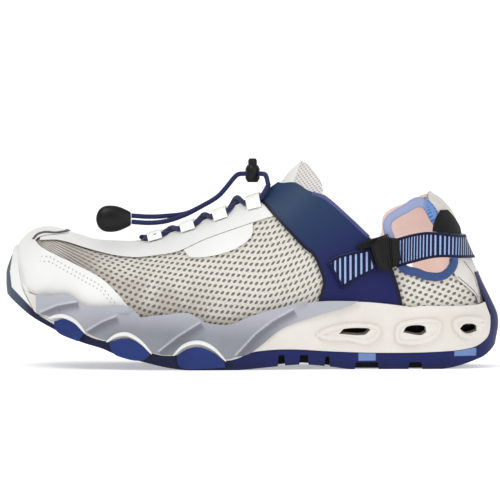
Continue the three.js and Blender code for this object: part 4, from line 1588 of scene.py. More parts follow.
@dataclass
class Sole(Builder):
    """Outsole, foam midsole, side guards and insole."""

    skins: Skins
    looks: Looks
    wall: "Wall"
    frame_step: float = 1.2 * MM
    frame_bead: float = 3.0 * MM
    groove_stop: float = 20 * MM
    core: float = 3 * MM
    lug_height: float = 2.0 * MM
    bead_width: float = 2.6 * MM
    guard_thickness: float = 2.2 * MM
    insole_thickness: float = 4 * MM

    TOP = on_sole((
        (0.062, 1.32), (0.103, 1.11), (0.126, 1.16), (0.154, 1.00), (0.168, 0.80), (0.212, 0.65),
        (0.248, 0.72), (0.299, 0.39), (0.346, 0.33), (0.393, 0.52), (0.444, 0.22), (0.471, 0.26),
        (0.495, 0.39), (0.544, 0.46), (0.593, 0.46), (0.658, 0.41), (0.756, 0.37), (0.868, 0.39),
        (0.944, 0.48), (0.974, 0.69), (0.981, 0.93), (0.981, 1.30),
    ))
    GUARD_FACE = on_sole(((0.971, 1.57), (0.950, 2.24)))
    BUMPER_FACE = on_sole(((0.022, 2.84), (0.030, 2.20), (0.036, 1.86), (0.050, 1.56)))
    GROUND = on_sole((
        (0.005, 1.70), (0.012, 1.62), (0.054, 1.24), (0.095, 0.98), (0.154, 0.66), (0.199, 0.50),
        (0.232, 0.34), (0.279, 0.20), (0.330, 0.06), (0.375, 0.00), (0.470, 0.00), (0.530, 0.06),
        (0.600, 0.12), (0.660, 0.06), (0.700, 0.00), (0.883, 0.00), (0.962, 0.25), (0.984, 0.43),
        (0.997, 0.62),
    ))
    GROOVES = (
        (0.550, 0.568, 0.34), (0.593, 0.615, 0.34), (0.644, 0.658, 0.30),
        (0.705, 0.756, 0.16), (0.813, 0.844, 0.16),
    )
    FRAMES = (
        ((0.630, 0.77), (0.658, 1.01), (0.724, 1.09), (0.760, 0.93), (0.736, 0.58), (0.691, 0.66)),
        ((0.786, 0.84), (0.797, 1.09), (0.868, 1.19), (0.883, 1.00), (0.859, 0.64), (0.795, 0.58)),
        ((0.905, 1.15), (0.955, 1.22), (0.970, 1.10), (0.950, 0.71), (0.917, 0.76)),
    )
    HOLES = (
        ((0.674, 0.83), (0.688, 0.97), (0.728, 0.99), (0.738, 0.92), (0.724, 0.80)),
        ((0.803, 0.86), (0.812, 1.00), (0.846, 1.01), (0.850, 0.86), (0.838, 0.79)),
        ((0.917, 0.93), (0.928, 1.05), (0.950, 1.02), (0.952, 0.88), (0.932, 0.82)),
    )
    GUARD = on_sole((
        (0.066, 1.30), (0.065, 1.76), (0.089, 1.72), (0.124, 1.77), (0.137, 1.72), (0.152, 1.57),
        (0.173, 1.48), (0.252, 1.48), (0.275, 1.24), (0.289, 1.25), (0.328, 1.30), (0.371, 1.34),
        (0.393, 1.21), (0.411, 1.10), (0.456, 1.07), (0.493, 1.24), (0.564, 1.47), (0.638, 1.59),
        (0.713, 1.59), (0.703, 1.52), (0.619, 1.22), (0.560, 0.96), (0.516, 0.56), (0.492, 0.37),
        (0.467, 0.31), (0.447, 0.27), (0.420, 0.50), (0.394, 0.66), (0.368, 0.56), (0.340, 0.36),
        (0.303, 0.42), (0.280, 0.66), (0.252, 0.84), (0.230, 0.82), (0.211, 0.70), (0.169, 0.87),
        (0.152, 1.12), (0.126, 1.26), (0.100, 1.23),
    ))

    LUGS = (
        ((-115.2, 27.9), (-108.7, 29.4), (-100.4, 25.5), (-97.4, 21.3), (-101.0, 16.6), (-111.1, 20.5), (-114.6, 23.7)),
        ((-83.2, 16.3), (-73.1, 18.6), (-65.4, 15.4), (-58.3, 9.8), (-64.2, 5.6), (-77.3, 7.9), (-81.4, 10.9)),
        ((-43.8, 8.3), (-38.1, 12.2), (-31.0, 13.5), (-23.3, 10.7), (-16.2, 5.0), (-15.6, 1.8), (-31.0, 0.8),
         (-41.7, 1.8)),
    )
    ARCS = (
        ((-117.4, 29.7), (-113.4, 31.0), (-108.7, 31.1), (-102.2, 27.9), (-96.2, 21.3)),
        ((-84.1, 16.6), (-78.5, 20.2), (-71.9, 20.9), (-64.2, 16.6), (-57.8, 9.8)),
        ((-45.6, 8.9), (-39.3, 14.5), (-31.0, 16.4), (-22.7, 13.0), (-15.3, 5.6)),
    )

    def build(self) -> None:
        """Builds every piece of the sole."""
        self.outsole()
        self.lugs()
        self.midsole()
        for side in (Side.LATERAL, Side.MEDIAL):
            self.guard(side)
        self.insole()

    def outsole(self) -> None:
        """Builds the rubber outsole with its toe bumper and heel guard."""
        rear = on_sole(((1.02, 0.90), (1.02, 2.24)))
        front = on_sole(((-0.02, 2.84), (-0.02, 1.70)))
        ground = smooth_outline(self.GROUND, 4, closed=False)
        ground[:, 1] = np.maximum(ground[:, 1], 0)
        top = smooth_outline(self.TOP, 4, closed=False)
        outline = np.concatenate([ground, rear, self.GUARD_FACE[::-1], top[::-1], self.BUMPER_FACE[::-1], front])
        body = combine(self.skins.sole(0, self.looks.rubber), prism(outline, -REACH, REACH), "INTERSECT")
        # Painted shade: each groove stops short of the middle, and its cut walls take the darker navy piping material.
        for start, end, up in self.GROOVES:
            low, high = on_sole(((start, -0.1), (end, up)))
            cut = np.array([(low[0], low[1]), (high[0], low[1]), (high[0] - MM, high[1]), (low[0] + MM, high[1])])
            for side in (Side.LATERAL, Side.MEDIAL):
                reach = side.value * self.groove_stop, side.value * REACH
                combine(body, prism(cut, min(reach), max(reach), self.looks.piping), "DIFFERENCE")
        combine(body, self.skins.last(2 * FIT + FILM, self.looks.rubber), "DIFFERENCE")
        self.place(sharpen(body), "outsole_skin", "navy_rubber", "outsole")

    def lugs(self) -> None:
        """Builds the side lugs of the forefoot and the white beads over them."""
        for side in (Side.LATERAL, Side.MEDIAL):
            name = side.name.lower()
            for number, (lug, arc) in enumerate(zip(self.LUGS, self.ARCS), 1):
                edge = smooth_outline(np.array(lug) * MM, 4, 70)
                body = self.skins.sole(self.lug_height, self.looks.lug)
                combine(body, self.skins.sole(-self.lug_height, self.looks.lug), "DIFFERENCE")
                combine(body, prism(edge, *across(side), self.looks.lug), "INTERSECT")
                low = np.array([(-REACH, 0), (REACH, 0), (REACH, REACH), (-REACH, REACH)])
                combine(body, prism(low, -REACH, REACH, self.looks.lug), "INTERSECT")
                bevel = body.modifiers.new("soft edge", "BEVEL")
                bevel.width = 0.5 * MM
                bevel.segments = 2
                bevel.limit_method = "ANGLE"
                bevel.angle_limit = math.radians(50)
                settle(body)
                self.place(sharpen(body, 60), f"lug_{name}_{number}", "navy_rubber", "outsole")
                path = smooth_outline(np.array(arc) * MM, 6, closed=False)
                centres, normals = self.wall.lay(path, side, FIT + self.guard_thickness * 0.55)
                taper = self.bead_width * (0.35 + 0.65 * np.sin(np.linspace(0, math.pi, len(path))) ** 0.6)
                bead = sweep("bead", centres, normals, taper, 3 * MM, self.looks.bead)
                self.place(bead, f"bead_{name}_{number}", "grey_guard", "outsole")

    def midsole(self) -> None:
        """Builds the foam cup with its framed drain ports."""
        floor = smooth_outline(self.TOP, 4, closed=False) + np.array([0, FIT])
        front = self.BUMPER_FACE[1:] + FIT
        back = self.GUARD_FACE[:1] - np.array([FIT, 0])
        top = on_sole(((0.965, 3.2), (0.03, 3.2)))
        outline = np.concatenate([front, floor[:-1], back, top])
        foam = self.looks.foam
        body = combine(self.skins.sole(0, foam), prism(outline, -REACH, REACH, foam), "INTERSECT")
        combine(body, above(smooth_outline(RIM_LINE, closed=False), 0), "DIFFERENCE")
        for port in self.FRAMES:
            edge = smooth_outline(on_sole(port), 4, 179)
            combine(body, combine(self.skins.sole(self.frame_step, foam), prism(edge, -REACH, REACH, foam),
                                  "INTERSECT"), "UNION")
        for port in self.HOLES:
            edge = smooth_outline(on_sole(port), 4, 80)
            combine(body, prism(edge, -REACH, REACH, foam), "DIFFERENCE")
        foot = combine(self.skins.last(FIT, foam), above(bed_line(), 0), "INTERSECT")
        combine(body, foot, "DIFFERENCE")
        self.place(sharpen(body), "midsole_skin", "foam", "midsole")
        for side in (Side.LATERAL, Side.MEDIAL):
            for number, port in enumerate(self.FRAMES, 1):
                edge = grown(smooth_outline(on_sole(port), 5, 179), -self.frame_bead * 0.55)
                centres, normals = self.wall.lay(edge, side, self.frame_step * 0.8)
                bead = sweep("rim", centres, normals, self.frame_bead, self.frame_bead * 0.8, foam, closed=True)
                self.place(bead, f"port_rim_{side.name.lower()}_{number}", "foam", "midsole")
        # Painted shade: a thin black plastic core across the middle of each drain hole stands in for the shade inside
        # the port, which would otherwise show through.
        for number, port in enumerate(self.HOLES, 1):
            edge = grown(smooth_outline(on_sole(port), 4, 80), 0.6 * MM)
            core = prism(edge, -self.core, self.core, self.looks.plastic)
            self.place(core, f"port_core_{number}", "black_plastic", "midsole")

    def guard(self, side: Side) -> None:
        """Builds one moulded forefoot guard.

        Args:
            side: Its side.
        """
        look = self.looks.guard
        body = self.skins.sole(FIT + self.guard_thickness, look, scoops)
        combine(body, self.skins.sole(FIT + self.frame_step / 4, look), "DIFFERENCE")
        combine(body, prism(smooth_outline(self.GUARD, 4), *across(side), look), "INTERSECT")
        name = side.name.lower()
        self.place(sharpen(body), f"side_guard_{name}_skin", "grey_guard", f"side_guard_{name}")

    def insole(self) -> None:
        """Builds the insole in the shoe."""
        look = self.looks.lining
        body = combine(self.skins.last(-WALL - FIT, look), above(bed_line(), FIT), "INTERSECT")
        combine(body, above(bed_line(), FIT + self.insole_thickness), "DIFFERENCE")
        self.place(sharpen(body), "insole_skin", "pink_lining", "insole")


@dataclass
class Upper(Builder):
    """The hollow mesh upper, its films, rolls, tongue and label."""

    skins: Skins
    looks: Looks
    tongue_thickness: float = 4 * MM
    piping: float = 1.7 * MM
    corner_width: float = 3.0 * MM
    label_thickness: float = 1.6 * MM

    TONGUE = on_upper((
        (0.240, 0.45), (0.240, 2.50), (0.568, 2.50), (0.572, 1.188), (0.584, 1.222), (0.596, 1.238),
        (0.607, 1.226), (0.618, 1.192), (0.628, 1.150), (0.637, 1.100), (0.642, 1.040), (0.641, 0.950), (0.640, 0.760), (0.530, 0.700), (0.400, 0.500), (0.300, 0.360),
    ))
    TOE_CAP = on_upper((
        (-0.050, 1.30), (0.122, 1.30), (0.126, 0.695), (0.104, 0.688), (0.083, 0.680), (0.068, 0.662),
        (0.062, 0.642), (0.072, 0.602), (0.092, 0.559), (0.148, 0.461), (0.197, 0.364), (0.229, 0.254),
        (0.255, 0.144), (0.277, 0.071), (0.290, -0.20), (-0.050, -0.20),
    ))
    SADDLE = on_upper((
        (0.509, 1.50), (0.511, 0.978), (0.528, 0.900), (0.546, 0.821), (0.573, 0.710), (0.604, 0.588),
        (0.622, 0.534), (0.635, 0.427), (0.642, 0.339), (0.638, 0.254), (0.633, 0.187), (0.625, -0.10),
        (0.806, -0.10), (0.803, 0.152), (0.785, 0.408), (0.768, 0.560), (0.765, 1.50),
    ))
    EYESTAY = on_upper((
        (0.072, 1.50), (0.072, 0.645), (0.112, 0.645), (0.172, 0.580), (0.219, 0.537), (0.266, 0.519),
        (0.313, 0.537), (0.352, 0.565), (0.407, 0.657), (0.497, 0.775), (0.542, 0.829), (0.520, 1.50),
    ))
    COUNTER = on_upper((
        (0.856, 1.40), (0.858, 0.900), (0.885, 0.620), (0.900, 0.481), (0.911, 0.368), (0.942, 0.260),
        (0.955, 0.198), (0.965, -0.10), (1.050, -0.10), (1.050, 1.40),
    ))
    BINDING = on_upper(((0.622, 0.995), (0.648, 0.958), (0.690, 0.825), (0.734, 0.668)))
    HOOK = np.array(((-127.3, 74.2), (-125.3, 76.6), (-121.2, 77.9), (-115.2, 77.6), (-108.8, 78.4)))
    CORNER = np.array((102.5, 92.5)) * MM
    SEAMS = (
        ((122.6, 62.3), (128.4, 54.2), (130.5, 47.0)),
        ((119.4, 53.5), (128.5, 45.2), (131.2, 41.0)),
    )
    LABEL = on_upper((
        (0.362, 0.573), (0.407, 0.670), (0.502, 0.790), (0.497, 0.668), (0.450, 0.560), (0.379, 0.519),
    ))

    def build(self) -> None:
        """Builds every piece of the upper."""
        self.shell()
        self.tongue()
        white = self.looks.white
        toe = self.film(smooth_outline(self.TOE_CAP), Side.BOTH, self.looks.toe)
        self.place(toe, "toe_cap_film", "white_film", "toe_cap")
        edges = [smooth_outline(self.TOE_CAP), smooth_outline(self.SADDLE)]
        self.place(self.film(smooth_outline(self.EYESTAY), Side.BOTH, white, edges), "eyestay_film",
                   "white_film", "eyestay")
        for side, hole in ((Side.LATERAL, LATERAL_HOLE), (Side.MEDIAL, MEDIAL_HOLE)):
            name = side.name.lower()
            ring = grown(smooth_outline(hole, corner=120), RING_WIDTH)
            saddle = self.film(smooth_outline(self.SADDLE), side, self.looks.saddle, [ring])
            self.place(saddle, f"saddle_{name}_film", "navy_film", f"saddle_{name}")
            inside = grown(smooth_outline(self.SADDLE), -self.piping - FIT)
            piping = self.film(smooth_outline(self.SADDLE), side, self.looks.piping, [ring, inside], 0.5 * MM)
            self.place(piping, f"saddle_{name}_piping", "navy_film", f"saddle_{name}")
            self.roll(side, hole)
            centres, normals = on_surface(smooth_outline(self.BINDING, closed=False), side, FIT + FILM)
            band = sweep("band", centres, normals, 2.0 * MM, 1.2 * MM, self.looks.binding)
            self.place(band, f"collar_{name}_binding", "blue_roll", f"saddle_{name}")
            # A grey line along the toe cap's rear edge, partly its stitching and partly painted shadow of that edge.
            centres, normals = on_surface(smooth_outline(self.HOOK * MM, closed=False), side, FIT + FILM)
            hook = sweep("hook", centres, normals, 2.0 * MM, 1.6 * MM, self.looks.shadow)
            self.place(hook, f"toe_{name}_trim", "mesh_cloth", "upper")
            path = smooth_outline(Sole.BUMPER_FACE + (0.6 * MM, 0), closed=False)
            centres, normals = on_surface(path, side, FIT + FILM * 0.6)
            fillet = sweep("fillet", centres, normals, 6.5 * MM, 4.4 * MM, self.looks.toe)
            self.place(fillet, f"toe_{name}_fillet", "white_film", "toe_cap")
            for number, seam in enumerate(self.SEAMS, 1):
                centres, normals = on_surface(smooth_outline(np.array(seam) * MM, closed=False), side, FIT + FILM)
                line = sweep("seam", centres, normals, 0.5 * MM, 0.35 * MM, self.looks.shadow, columns=8)
                self.place(line, f"heel_{name}_seam_{number}", "mesh_cloth", "heel_counter")
        self.counter()
        label = self.panel(smooth_outline(self.LABEL), FIT, FIT + self.label_thickness, Side.LATERAL, white)
        combine(label, prism(grown(smooth_outline(self.EYESTAY), FIT), *across(Side.LATERAL), white), "DIFFERENCE")
        self.place(sharpen(label), "side_label_film", "white_film", "side_label")

    def shell(self) -> None:
        """Builds the hollow shell, mesh outside and lined inside."""
        body = self.skins.last(0, self.looks.mesh)
        combine(body, self.skins.last(-WALL, self.looks.lining), "DIFFERENCE")
        combine(body, above(bed_line(), FIT), "INTERSECT")
        combine(body, prism(smooth_outline(OPENING), -REACH, REACH, self.looks.lining), "DIFFERENCE")
        combine(body, throat_slot(), "DIFFERENCE")
        for side, hole in ((Side.LATERAL, LATERAL_HOLE), (Side.MEDIAL, MEDIAL_HOLE)):
            combine(body, prism(smooth_outline(hole, corner=120), *across(side), self.looks.roll), "DIFFERENCE")
        self.place(sharpen(body), "upper_shell", "mesh_cloth", "upper")

    def tongue(self) -> None:
        """Builds the tongue under the throat."""
        outer = -WALL - FIT
        body = self.panel(smooth_outline(self.TONGUE), outer - self.tongue_thickness, outer, Side.BOTH,
                          self.looks.tongue, puff)
        self.place(sharpen(body), "tongue_pad", "mesh_cloth", "tongue")

    def roll(self, side: Side, hole: np.ndarray) -> None:
        """Builds the padded roll round a side cut-out.

        Args:
            side: Its side.
            hole: The cut-out's outline.
        """
        path = grown(smooth_outline(hole, corner=120), RING_WIDTH / 2)
        centres, normals = on_surface(path, side, 0.9 * MM)
        corner = np.linalg.norm(path - self.CORNER, axis=1)
        width = RING_WIDTH + (self.corner_width if side is Side.LATERAL else 0) * np.exp(-((corner / (9 * MM)) ** 2))
        width = np.concatenate([width, width[:1]])
        made = sweep("roll", centres, normals, width, 3.4 * MM, self.looks.roll, closed=True)
        name = side.name.lower()
        self.place(made, f"ring_{name}_roll", "blue_roll", f"ring_{name}")

    def counter(self) -> None:
        """Builds the film round the heel."""
        white = self.looks.heel
        body = self.film(smooth_outline(self.COUNTER), Side.BOTH, white)
        ring = grown(smooth_outline(LATERAL_HOLE, corner=120), RING_WIDTH + FIT)
        combine(body, prism(ring, *across(Side.LATERAL), white), "DIFFERENCE")
        self.place(sharpen(body), "heel_counter_film", "white_film", "heel_counter")


def puff(points: np.ndarray) -> np.ndarray:
    """Gives how far the tongue's padded end stands up over the collar.

    Args:
        points: Points of the last.

    Returns:
        The height at each point.
    """
    free = np.clip((points[..., 2] - 111 * MM) / (5 * MM), 0, 1)
    return 1.5 * MM * free * free * (3 - 2 * free)


def on_surface(path: np.ndarray, side: Side, grow: float) -> tuple[np.ndarray, np.ndarray]:
    """Lays a line of the side view onto the last.

    Args:
        path: The line.
        side: The side of the shoe.
        grow: Distance out from the last.

    Returns:
        The points and the outward normals there.
    """
    places = np.array([Last.on_side(x, z, side) for x, z in path])
    out = np.array([Last.on_side(x, z, side, 1.0) for x, z in path]) - places
    return places + out * grow, out


def sweep(name: str, centres: np.ndarray, normals: np.ndarray, width: float | np.ndarray,
          height: float | np.ndarray, look: bpy.types.Material, closed: bool = False,
          power: float = 2.0, columns: int = 16) -> bpy.types.Object:
    """Sweeps a superellipse along a line.

    Args:
        name: The object's name.
        centres: Points along the line.
        normals: Which way the section's height points.
        width: Width of the section.
        height: Height of the section.
        look: Its material.
        closed: Whether the line comes back to its start.
        power: How square the section is.
        columns: Points round the section.

    Returns:
        The swept piece.
    """
    if closed:
        centres = np.concatenate([centres, centres[:1]])
        normals = np.concatenate([normals, normals[:1]])
    tangents = np.gradient(centres, axis=0)
    if closed:
        tangents[0] = tangents[-1] = centres[1] - centres[-2]
    sides = np.cross(tangents, normals)
    sides /= np.linalg.norm(sides, axis=1, keepdims=True)
    ups = np.cross(sides, tangents)
    ups /= np.linalg.norm(ups, axis=1, keepdims=True)
    angle = np.linspace(0, 2 * math.pi, columns + 1)
    flat_x = np.sign(np.cos(angle)) * np.abs(np.cos(angle)) ** (2 / power) / 2
    flat_y = np.sign(np.sin(angle)) * np.abs(np.sin(angle)) ** (2 / power) / 2
    width = np.broadcast_to(width, len(centres))[:, None, None]
    height = np.broadcast_to(height, len(centres))[:, None, None]
    points = (centres[:, None] + sides[:, None] * flat_x[None, :, None] * width
              + ups[:, None] * flat_y[None, :, None] * height)
    along = np.linalg.norm(np.diff(centres, axis=0, prepend=centres[:1]), axis=1).cumsum()
    uv = np.stack([np.repeat(along[:, None], columns + 1, 1),
                   np.repeat((flat_x * width[0, 0, 0])[None], len(centres), 0)], -1)
    if not closed:
        points = np.concatenate([np.repeat(centres[:1, None], columns + 1, 1), points,
                                 np.repeat(centres[-1:, None], columns + 1, 1)])
        uv = np.concatenate([uv[:1], uv, uv[-1:]])
    return surface(name, points, look, uv)


@dataclass
class Straps(Builder):
    """The heel strap in its two parts, its loop and the buckle."""

    skins: Skins
    looks: Looks
    thickness: float = 1.5 * MM
    buckle_thickness: float = 6.5 * MM
    ridge: float = 1.2 * MM
    border: float = 1.5 * MM
    border_height: float = 0.3 * MM

    INNER = 2 * FIT + FILM
    FRONT = on_upper((
        (0.651, 0.481), (0.673, 0.530), (0.737, 0.585), (0.751, 0.427), (0.702, 0.336), (0.681, 0.282),
    ))
    REAR_TOP = ((0.7860, 0.655), (0.826, 0.695), (0.858, 0.708), (0.921, 0.684), (1.050, 0.660))
    REAR_BOTTOM = ((1.050, 0.490), (0.927, 0.510), (0.870, 0.515), (0.820, 0.473), (0.7900, 0.440))
    REAR = on_upper((*REAR_TOP, *REAR_BOTTOM))
    MEDIAL = on_upper((
        (0.666, 0.530), (0.742, 0.600), *REAR_TOP, *REAR_BOTTOM, (0.751, 0.405), (0.684, 0.340),
    ))
    STITCHES = (
        ((43.9, 62.3), (50.2, 66.1), (58.7, 51.0), (52.6, 46.8), (43.9, 62.3)),
        ((43.9, 62.3), (58.7, 51.0)),
        ((50.2, 66.1), (52.6, 46.8)),
    )
    RIBS = (
        ((73.5, 73.5), (75.2, 67.5), (76.6, 61.5)),
        ((76.9, 74.4), (78.5, 67.5), (79.7, 60.2)),
    )
    TAIL = np.array(((60.9, 72.0), (69.8, 75.9), (79.3, 78.7), (75.0, 76.0), (69.0, 71.2), (63.0, 69.5))) * MM
    TAB = on_upper((
        (0.863, 0.600), (0.863, 0.718), (0.868, 0.795), (0.880, 0.871), (0.896, 0.871), (0.910, 0.810),
        (0.922, 0.725), (0.922, 0.600),
    ))
    SOCKET = on_upper((
        (0.738, 0.606), (0.756, 0.668), (0.775, 0.670), (0.777, 0.426), (0.762, 0.414), (0.752, 0.445),
    ))
    PLUG = on_upper((
        (0.7762, 0.666), (0.794, 0.660), (0.799, 0.498), (0.787, 0.448), (0.7782, 0.434),
    ))

    def build(self) -> None:
        """Builds the strap, loop and buckle."""
        outer = self.INNER + self.thickness
        front = self.panel(smooth_outline(self.FRONT), self.INNER, outer, Side.LATERAL, self.looks.strap)
        self.place(sharpen(front), "strap_front_webbing", "navy_webbing", "strap_front")
        rear = combine(self.skins.last(outer, self.looks.strap), self.skins.last(self.INNER, self.looks.strap),
                       "DIFFERENCE")
        bands = combine(prism(smooth_outline(self.REAR), *across(Side.LATERAL)),
                        prism(smooth_outline(self.MEDIAL), *across(Side.MEDIAL)), "UNION")
        combine(rear, bands, "INTERSECT")
        self.place(sharpen(rear), "strap_rear_webbing", "navy_webbing", "strap_rear")
        self.edging("front", smooth_outline(self.FRONT), Side.LATERAL)
        self.edging("rear", smooth_outline(self.REAR), Side.LATERAL)
        self.edging("medial", smooth_outline(self.MEDIAL), Side.MEDIAL)
        for number, line in enumerate(self.STITCHES, 1):
            path = smooth_outline(np.array(line) * MM, 6, 20, closed=False)
            centres, normals = on_surface(path, Side.LATERAL, FIT + FILM + 0.1 * MM)
            seam = sweep("stitch", centres, normals, 0.7 * MM, 0.6 * MM, self.looks.piping, columns=8)
            self.place(seam, f"strap_stitch_{number}", "navy_webbing", "strap_front")
        tail = self.panel(self.TAIL, self.INNER, self.INNER + 2 * self.thickness, Side.LATERAL, self.looks.black_webbing)
        self.place(sharpen(tail), "strap_tail", "black_webbing", "strap_front")
        for side in (Side.LATERAL, Side.MEDIAL):
            self.tab(side)
        socket = self.half(self.SOCKET, self.buckle_thickness)
        self.place(socket, "buckle_socket_body", "black_plastic", "buckle_socket")
        for number, line in enumerate(self.RIBS, 1):
            path = smooth_outline(np.array(line) * MM, closed=False)
            out = self.INNER + self.buckle_thickness + self.ridge
            centres, normals = on_surface(path, Side.LATERAL, out)
            rib = sweep("rib", centres, normals, 1.3 * MM, 1.2 * MM, self.looks.plastic, columns=8)
            self.place(rib, f"buckle_rib_{number}", "black_plastic", "buckle_socket")
        plug = self.half(self.PLUG, self.buckle_thickness - self.ridge)
        self.place(plug, "buckle_plug_body", "black_plastic", "buckle_plug")

    def edging(self, name: str, outline: np.ndarray, side: Side) -> None:
        """Builds the plain woven border along a strap.

        Args:
            name: Which strap.
            outline: The strap's outline.
            side: Its side.
        """
        outer = self.INNER + self.thickness
        body = self.panel(outline, outer + 0.02 * MM, outer + self.border_height, side, self.looks.border)
        combine(body, prism(grown(outline, -self.border), *across(side), self.looks.border), "DIFFERENCE")
        self.place(sharpen(body), f"strap_{name}_edging", "navy_webbing", "strap_rear")

    def tab(self, side: Side) -> None:
        """Builds the webbing tab that holds the strap on the counter.

        Args:
            side: Its side.
        """
        look = self.looks.black_webbing
        body = self.panel(smooth_outline(self.TAB, 4, 30), self.INNER, self.INNER + FILM, side, look)
        combine(body, prism(grown(self.REAR, FIT), *across(side), look), "DIFFERENCE")
        name = f"heel_tab_{side.name.lower()}"
        self.place(sharpen(body), f"{name}_webbing", "black_webbing", name)

    def half(self, outline: np.ndarray, thickness: float) -> bpy.types.Object:
        """Builds one half of the buckle with its raised middle.

        Args:
            outline: Its outline in the side view.
            thickness: Its thickness on the strap.

        Returns:
            The half.
        """
        edge = smooth_outline(outline, 4, 35)
        body = self.panel(edge, self.INNER, self.INNER + thickness, Side.LATERAL, self.looks.plastic)
        middle = self.panel(grown(edge, -self.ridge), self.INNER, self.INNER + thickness + self.ridge,
                            Side.LATERAL, self.looks.plastic)
        return sharpen(combine(body, middle, "UNION"))


@dataclass
class Lacing(Builder):
    """Lace loops, lace, the cords through the lock, and the stop on their ends."""

    skins: Skins
    looks: Looks
    diameter: float = 2.8 * MM
    lift: float = 0.3 * MM
    loop_width: float = 8.5 * MM
    loop_length: float = 7 * MM
    loop_thickness: float = 1.2 * MM
    loops: int = 4
    spacing: float = 3.6 * MM
    lock_radius: float = 4.2 * MM
    lock_height: float = 10 * MM
    button_radius: float = 2.6 * MM
    button_height: float = 4 * MM
    stop_length: float = 20.5 * MM
    stop_height: float = 15.6 * MM
    stop_width: float = 8 * MM

    BASE = 2 * FIT + FILM
    TOP_EYELET = 0.541
    LOCK = np.array((0.3, -5.2, 113.5)) * MM
    STOP = np.array((-71.2, -5.2, 87.0)) * MM
    TAIL = ((-9, 112.6, 0), (-15, 105.6, 0), (-20.5, 99.8, 0), (-30, 94.2, 0), (-39, 89.8, 0.1), (-50, 87.2, 0.6),
            (-60, 86.4, 1), (-70.9, 87.0, 1))

    def over_loops(self) -> float:
        """Gives how far out the lace lies where it rests on a loop.

        Returns:
            The growth of its centre line.
        """
        return self.BASE + self.loop_thickness + FIT + self.diameter / 2

    def lace_point(self, u: float, side: int, out: float) -> np.ndarray:
        """Places the lace over the inner edge of a loop.

        Args:
            u: Share of the length from the toe.
            side: -1 on the lateral side, 1 on the medial.
            out: Distance out from the last.

        Returns:
            The point.
        """
        return self.on_crown(along_shoe(u), side * (slot_half(u) + MM), out)

    def build(self) -> None:
        """Builds the loops and the lace. The cords are made by cords()."""
        for i in range(self.loops):
            u = 0.307 + 0.2 * i / (self.loops - 1)
            for side in (-1, 1):
                self.loop(u, side, i)
        shares = [0.307 + 0.2 * i / (self.loops - 1) for i in range(self.loops)]
        under = self.BASE + FIT + self.diameter / 2
        for first, name in ((-1, "first"), (1, "second")):
            start = self.lift + (first + 1) / 2 * self.diameter
            route = [self.on_crown(along_shoe(shares[0]) - self.loop_width, -first * 2 * MM, start)]
            for i, u in enumerate(shares):
                side = first * (-1) ** i
                for way in (-0.5, 0.5):
                    route.append(self.at_loop(along_shoe(u) + way * self.loop_width, side, under))
                if i < self.loops - 1:
                    middle = along_shoe((u + shares[i + 1]) / 2)
                    rise = self.lift + (first * (-1) ** i + 1) / 2 * self.diameter
                    route.append(self.on_crown(middle, 0.0, rise))
            route.append(self.lace_point(self.TOP_EYELET, first * (-1) ** (self.loops - 1), self.over_loops()))
            dense = smooth_line(np.array(route), 8)
            made = tube("lace", dense, self.diameter / 2, self.looks.cord)
            self.place(made, f"lace_{name}_strand", "navy_cord", "lace_bars")

    def loop(self, u: float, side: int, number: int) -> None:
        """Builds one webbing loop.

        Args:
            u: Its place, as a share of the length from the toe.
            side: -1 on the lateral side, 1 on the medial.
            number: Its number from the toe.
        """
        x = along_shoe(u)
        share = np.linspace(0, 1, 15)
        base = self.BASE + self.loop_thickness / 2
        arch = np.clip(np.sin(np.pi * share**0.85), 0, 1) ** 0.7 * (self.diameter + FIT)
        places = [self.at_loop(x, side, base + rise, across_it) for rise, across_it in zip(arch, share)]
        normals = [self.at_loop(x, side, base + MM, across_it) - self.at_loop(x, side, base, across_it)
                   for across_it in share]
        body = sweep("loop", np.array(places), np.array(normals), self.loop_width, self.loop_thickness,
                     self.looks.white_webbing, power=8.0)
        name = f"lace_loop_{'lateral' if side < 0 else 'medial'}_{number + 1}"
        self.place(sharpen(body), f"{name}_webbing", "white_webbing", name)

    def at_loop(self, x: float, side: int, out: float, share: float = 0.5) -> np.ndarray:
        """Places a point over a loop.

        Args:
            x: Place along the shoe.
            side: -1 on the lateral side, 1 on the medial.
            out: Distance out from the last.
            share: How far over the loop, from its inner to its outer edge.

        Returns:
            The point.
        """
        u = x / Last.LENGTH + 0.5
        return self.on_crown(x, side * (slot_half(u) + MM + share * self.loop_length), out)

    @staticmethod
    def on_crown(x: float, off: float, out: float) -> np.ndarray:
        """Places a point over the crown of the last.

        Args:
            x: Place along the shoe.
            off: Place across, from the last's centre line.
            out: Distance out from the last.

        Returns:
            The point.
        """
        y = float(Last.section(x)["centre"]) + off
        near = 0.5 * MM
        slope_x = (crown(x + near, y) - crown(x - near, y)) / (2 * near)
        slope_y = (crown(x, y + near) - crown(x, y - near)) / (2 * near)
        scale = out / math.hypot(slope_x, slope_y, 1)
        return np.array((x - slope_x * scale, y - slope_y * scale, crown(x, y) + scale))

    def cords(self) -> None:
        lock = self.lock()
        stop = self.stop()
        for side, name in ((-1, "lateral"), (1, "medial")):
            top = self.lace_point(self.TOP_EYELET, side, self.over_loops())
            y = self.LOCK[1] + side * self.spacing / 2
            bend = (8 * MM, (self.LOCK[1] + top[1]) / 2 + side * MM, self.LOCK[2] - MM)
            apart = side * self.spacing / 2
            tail = [(x * MM, self.LOCK[1] + apart * math.cos(turn * math.pi / 2),
                     z * MM + apart * math.sin(turn * math.pi / 2)) for x, z, turn in self.TAIL]
            route = np.array([top, bend, (4.8 * MM, y, self.LOCK[2]), (-4.2 * MM, y, self.LOCK[2]), *tail])
            dense = smooth_line(route, 8)
            cord = curve(f"cord_{name}_braid", dense, self.diameter / 2, self.looks.cord)
            self.place(cord, f"cord_{name}_braid", "navy_cord", f"cord_top_{name}", f"cord_end_{name}")

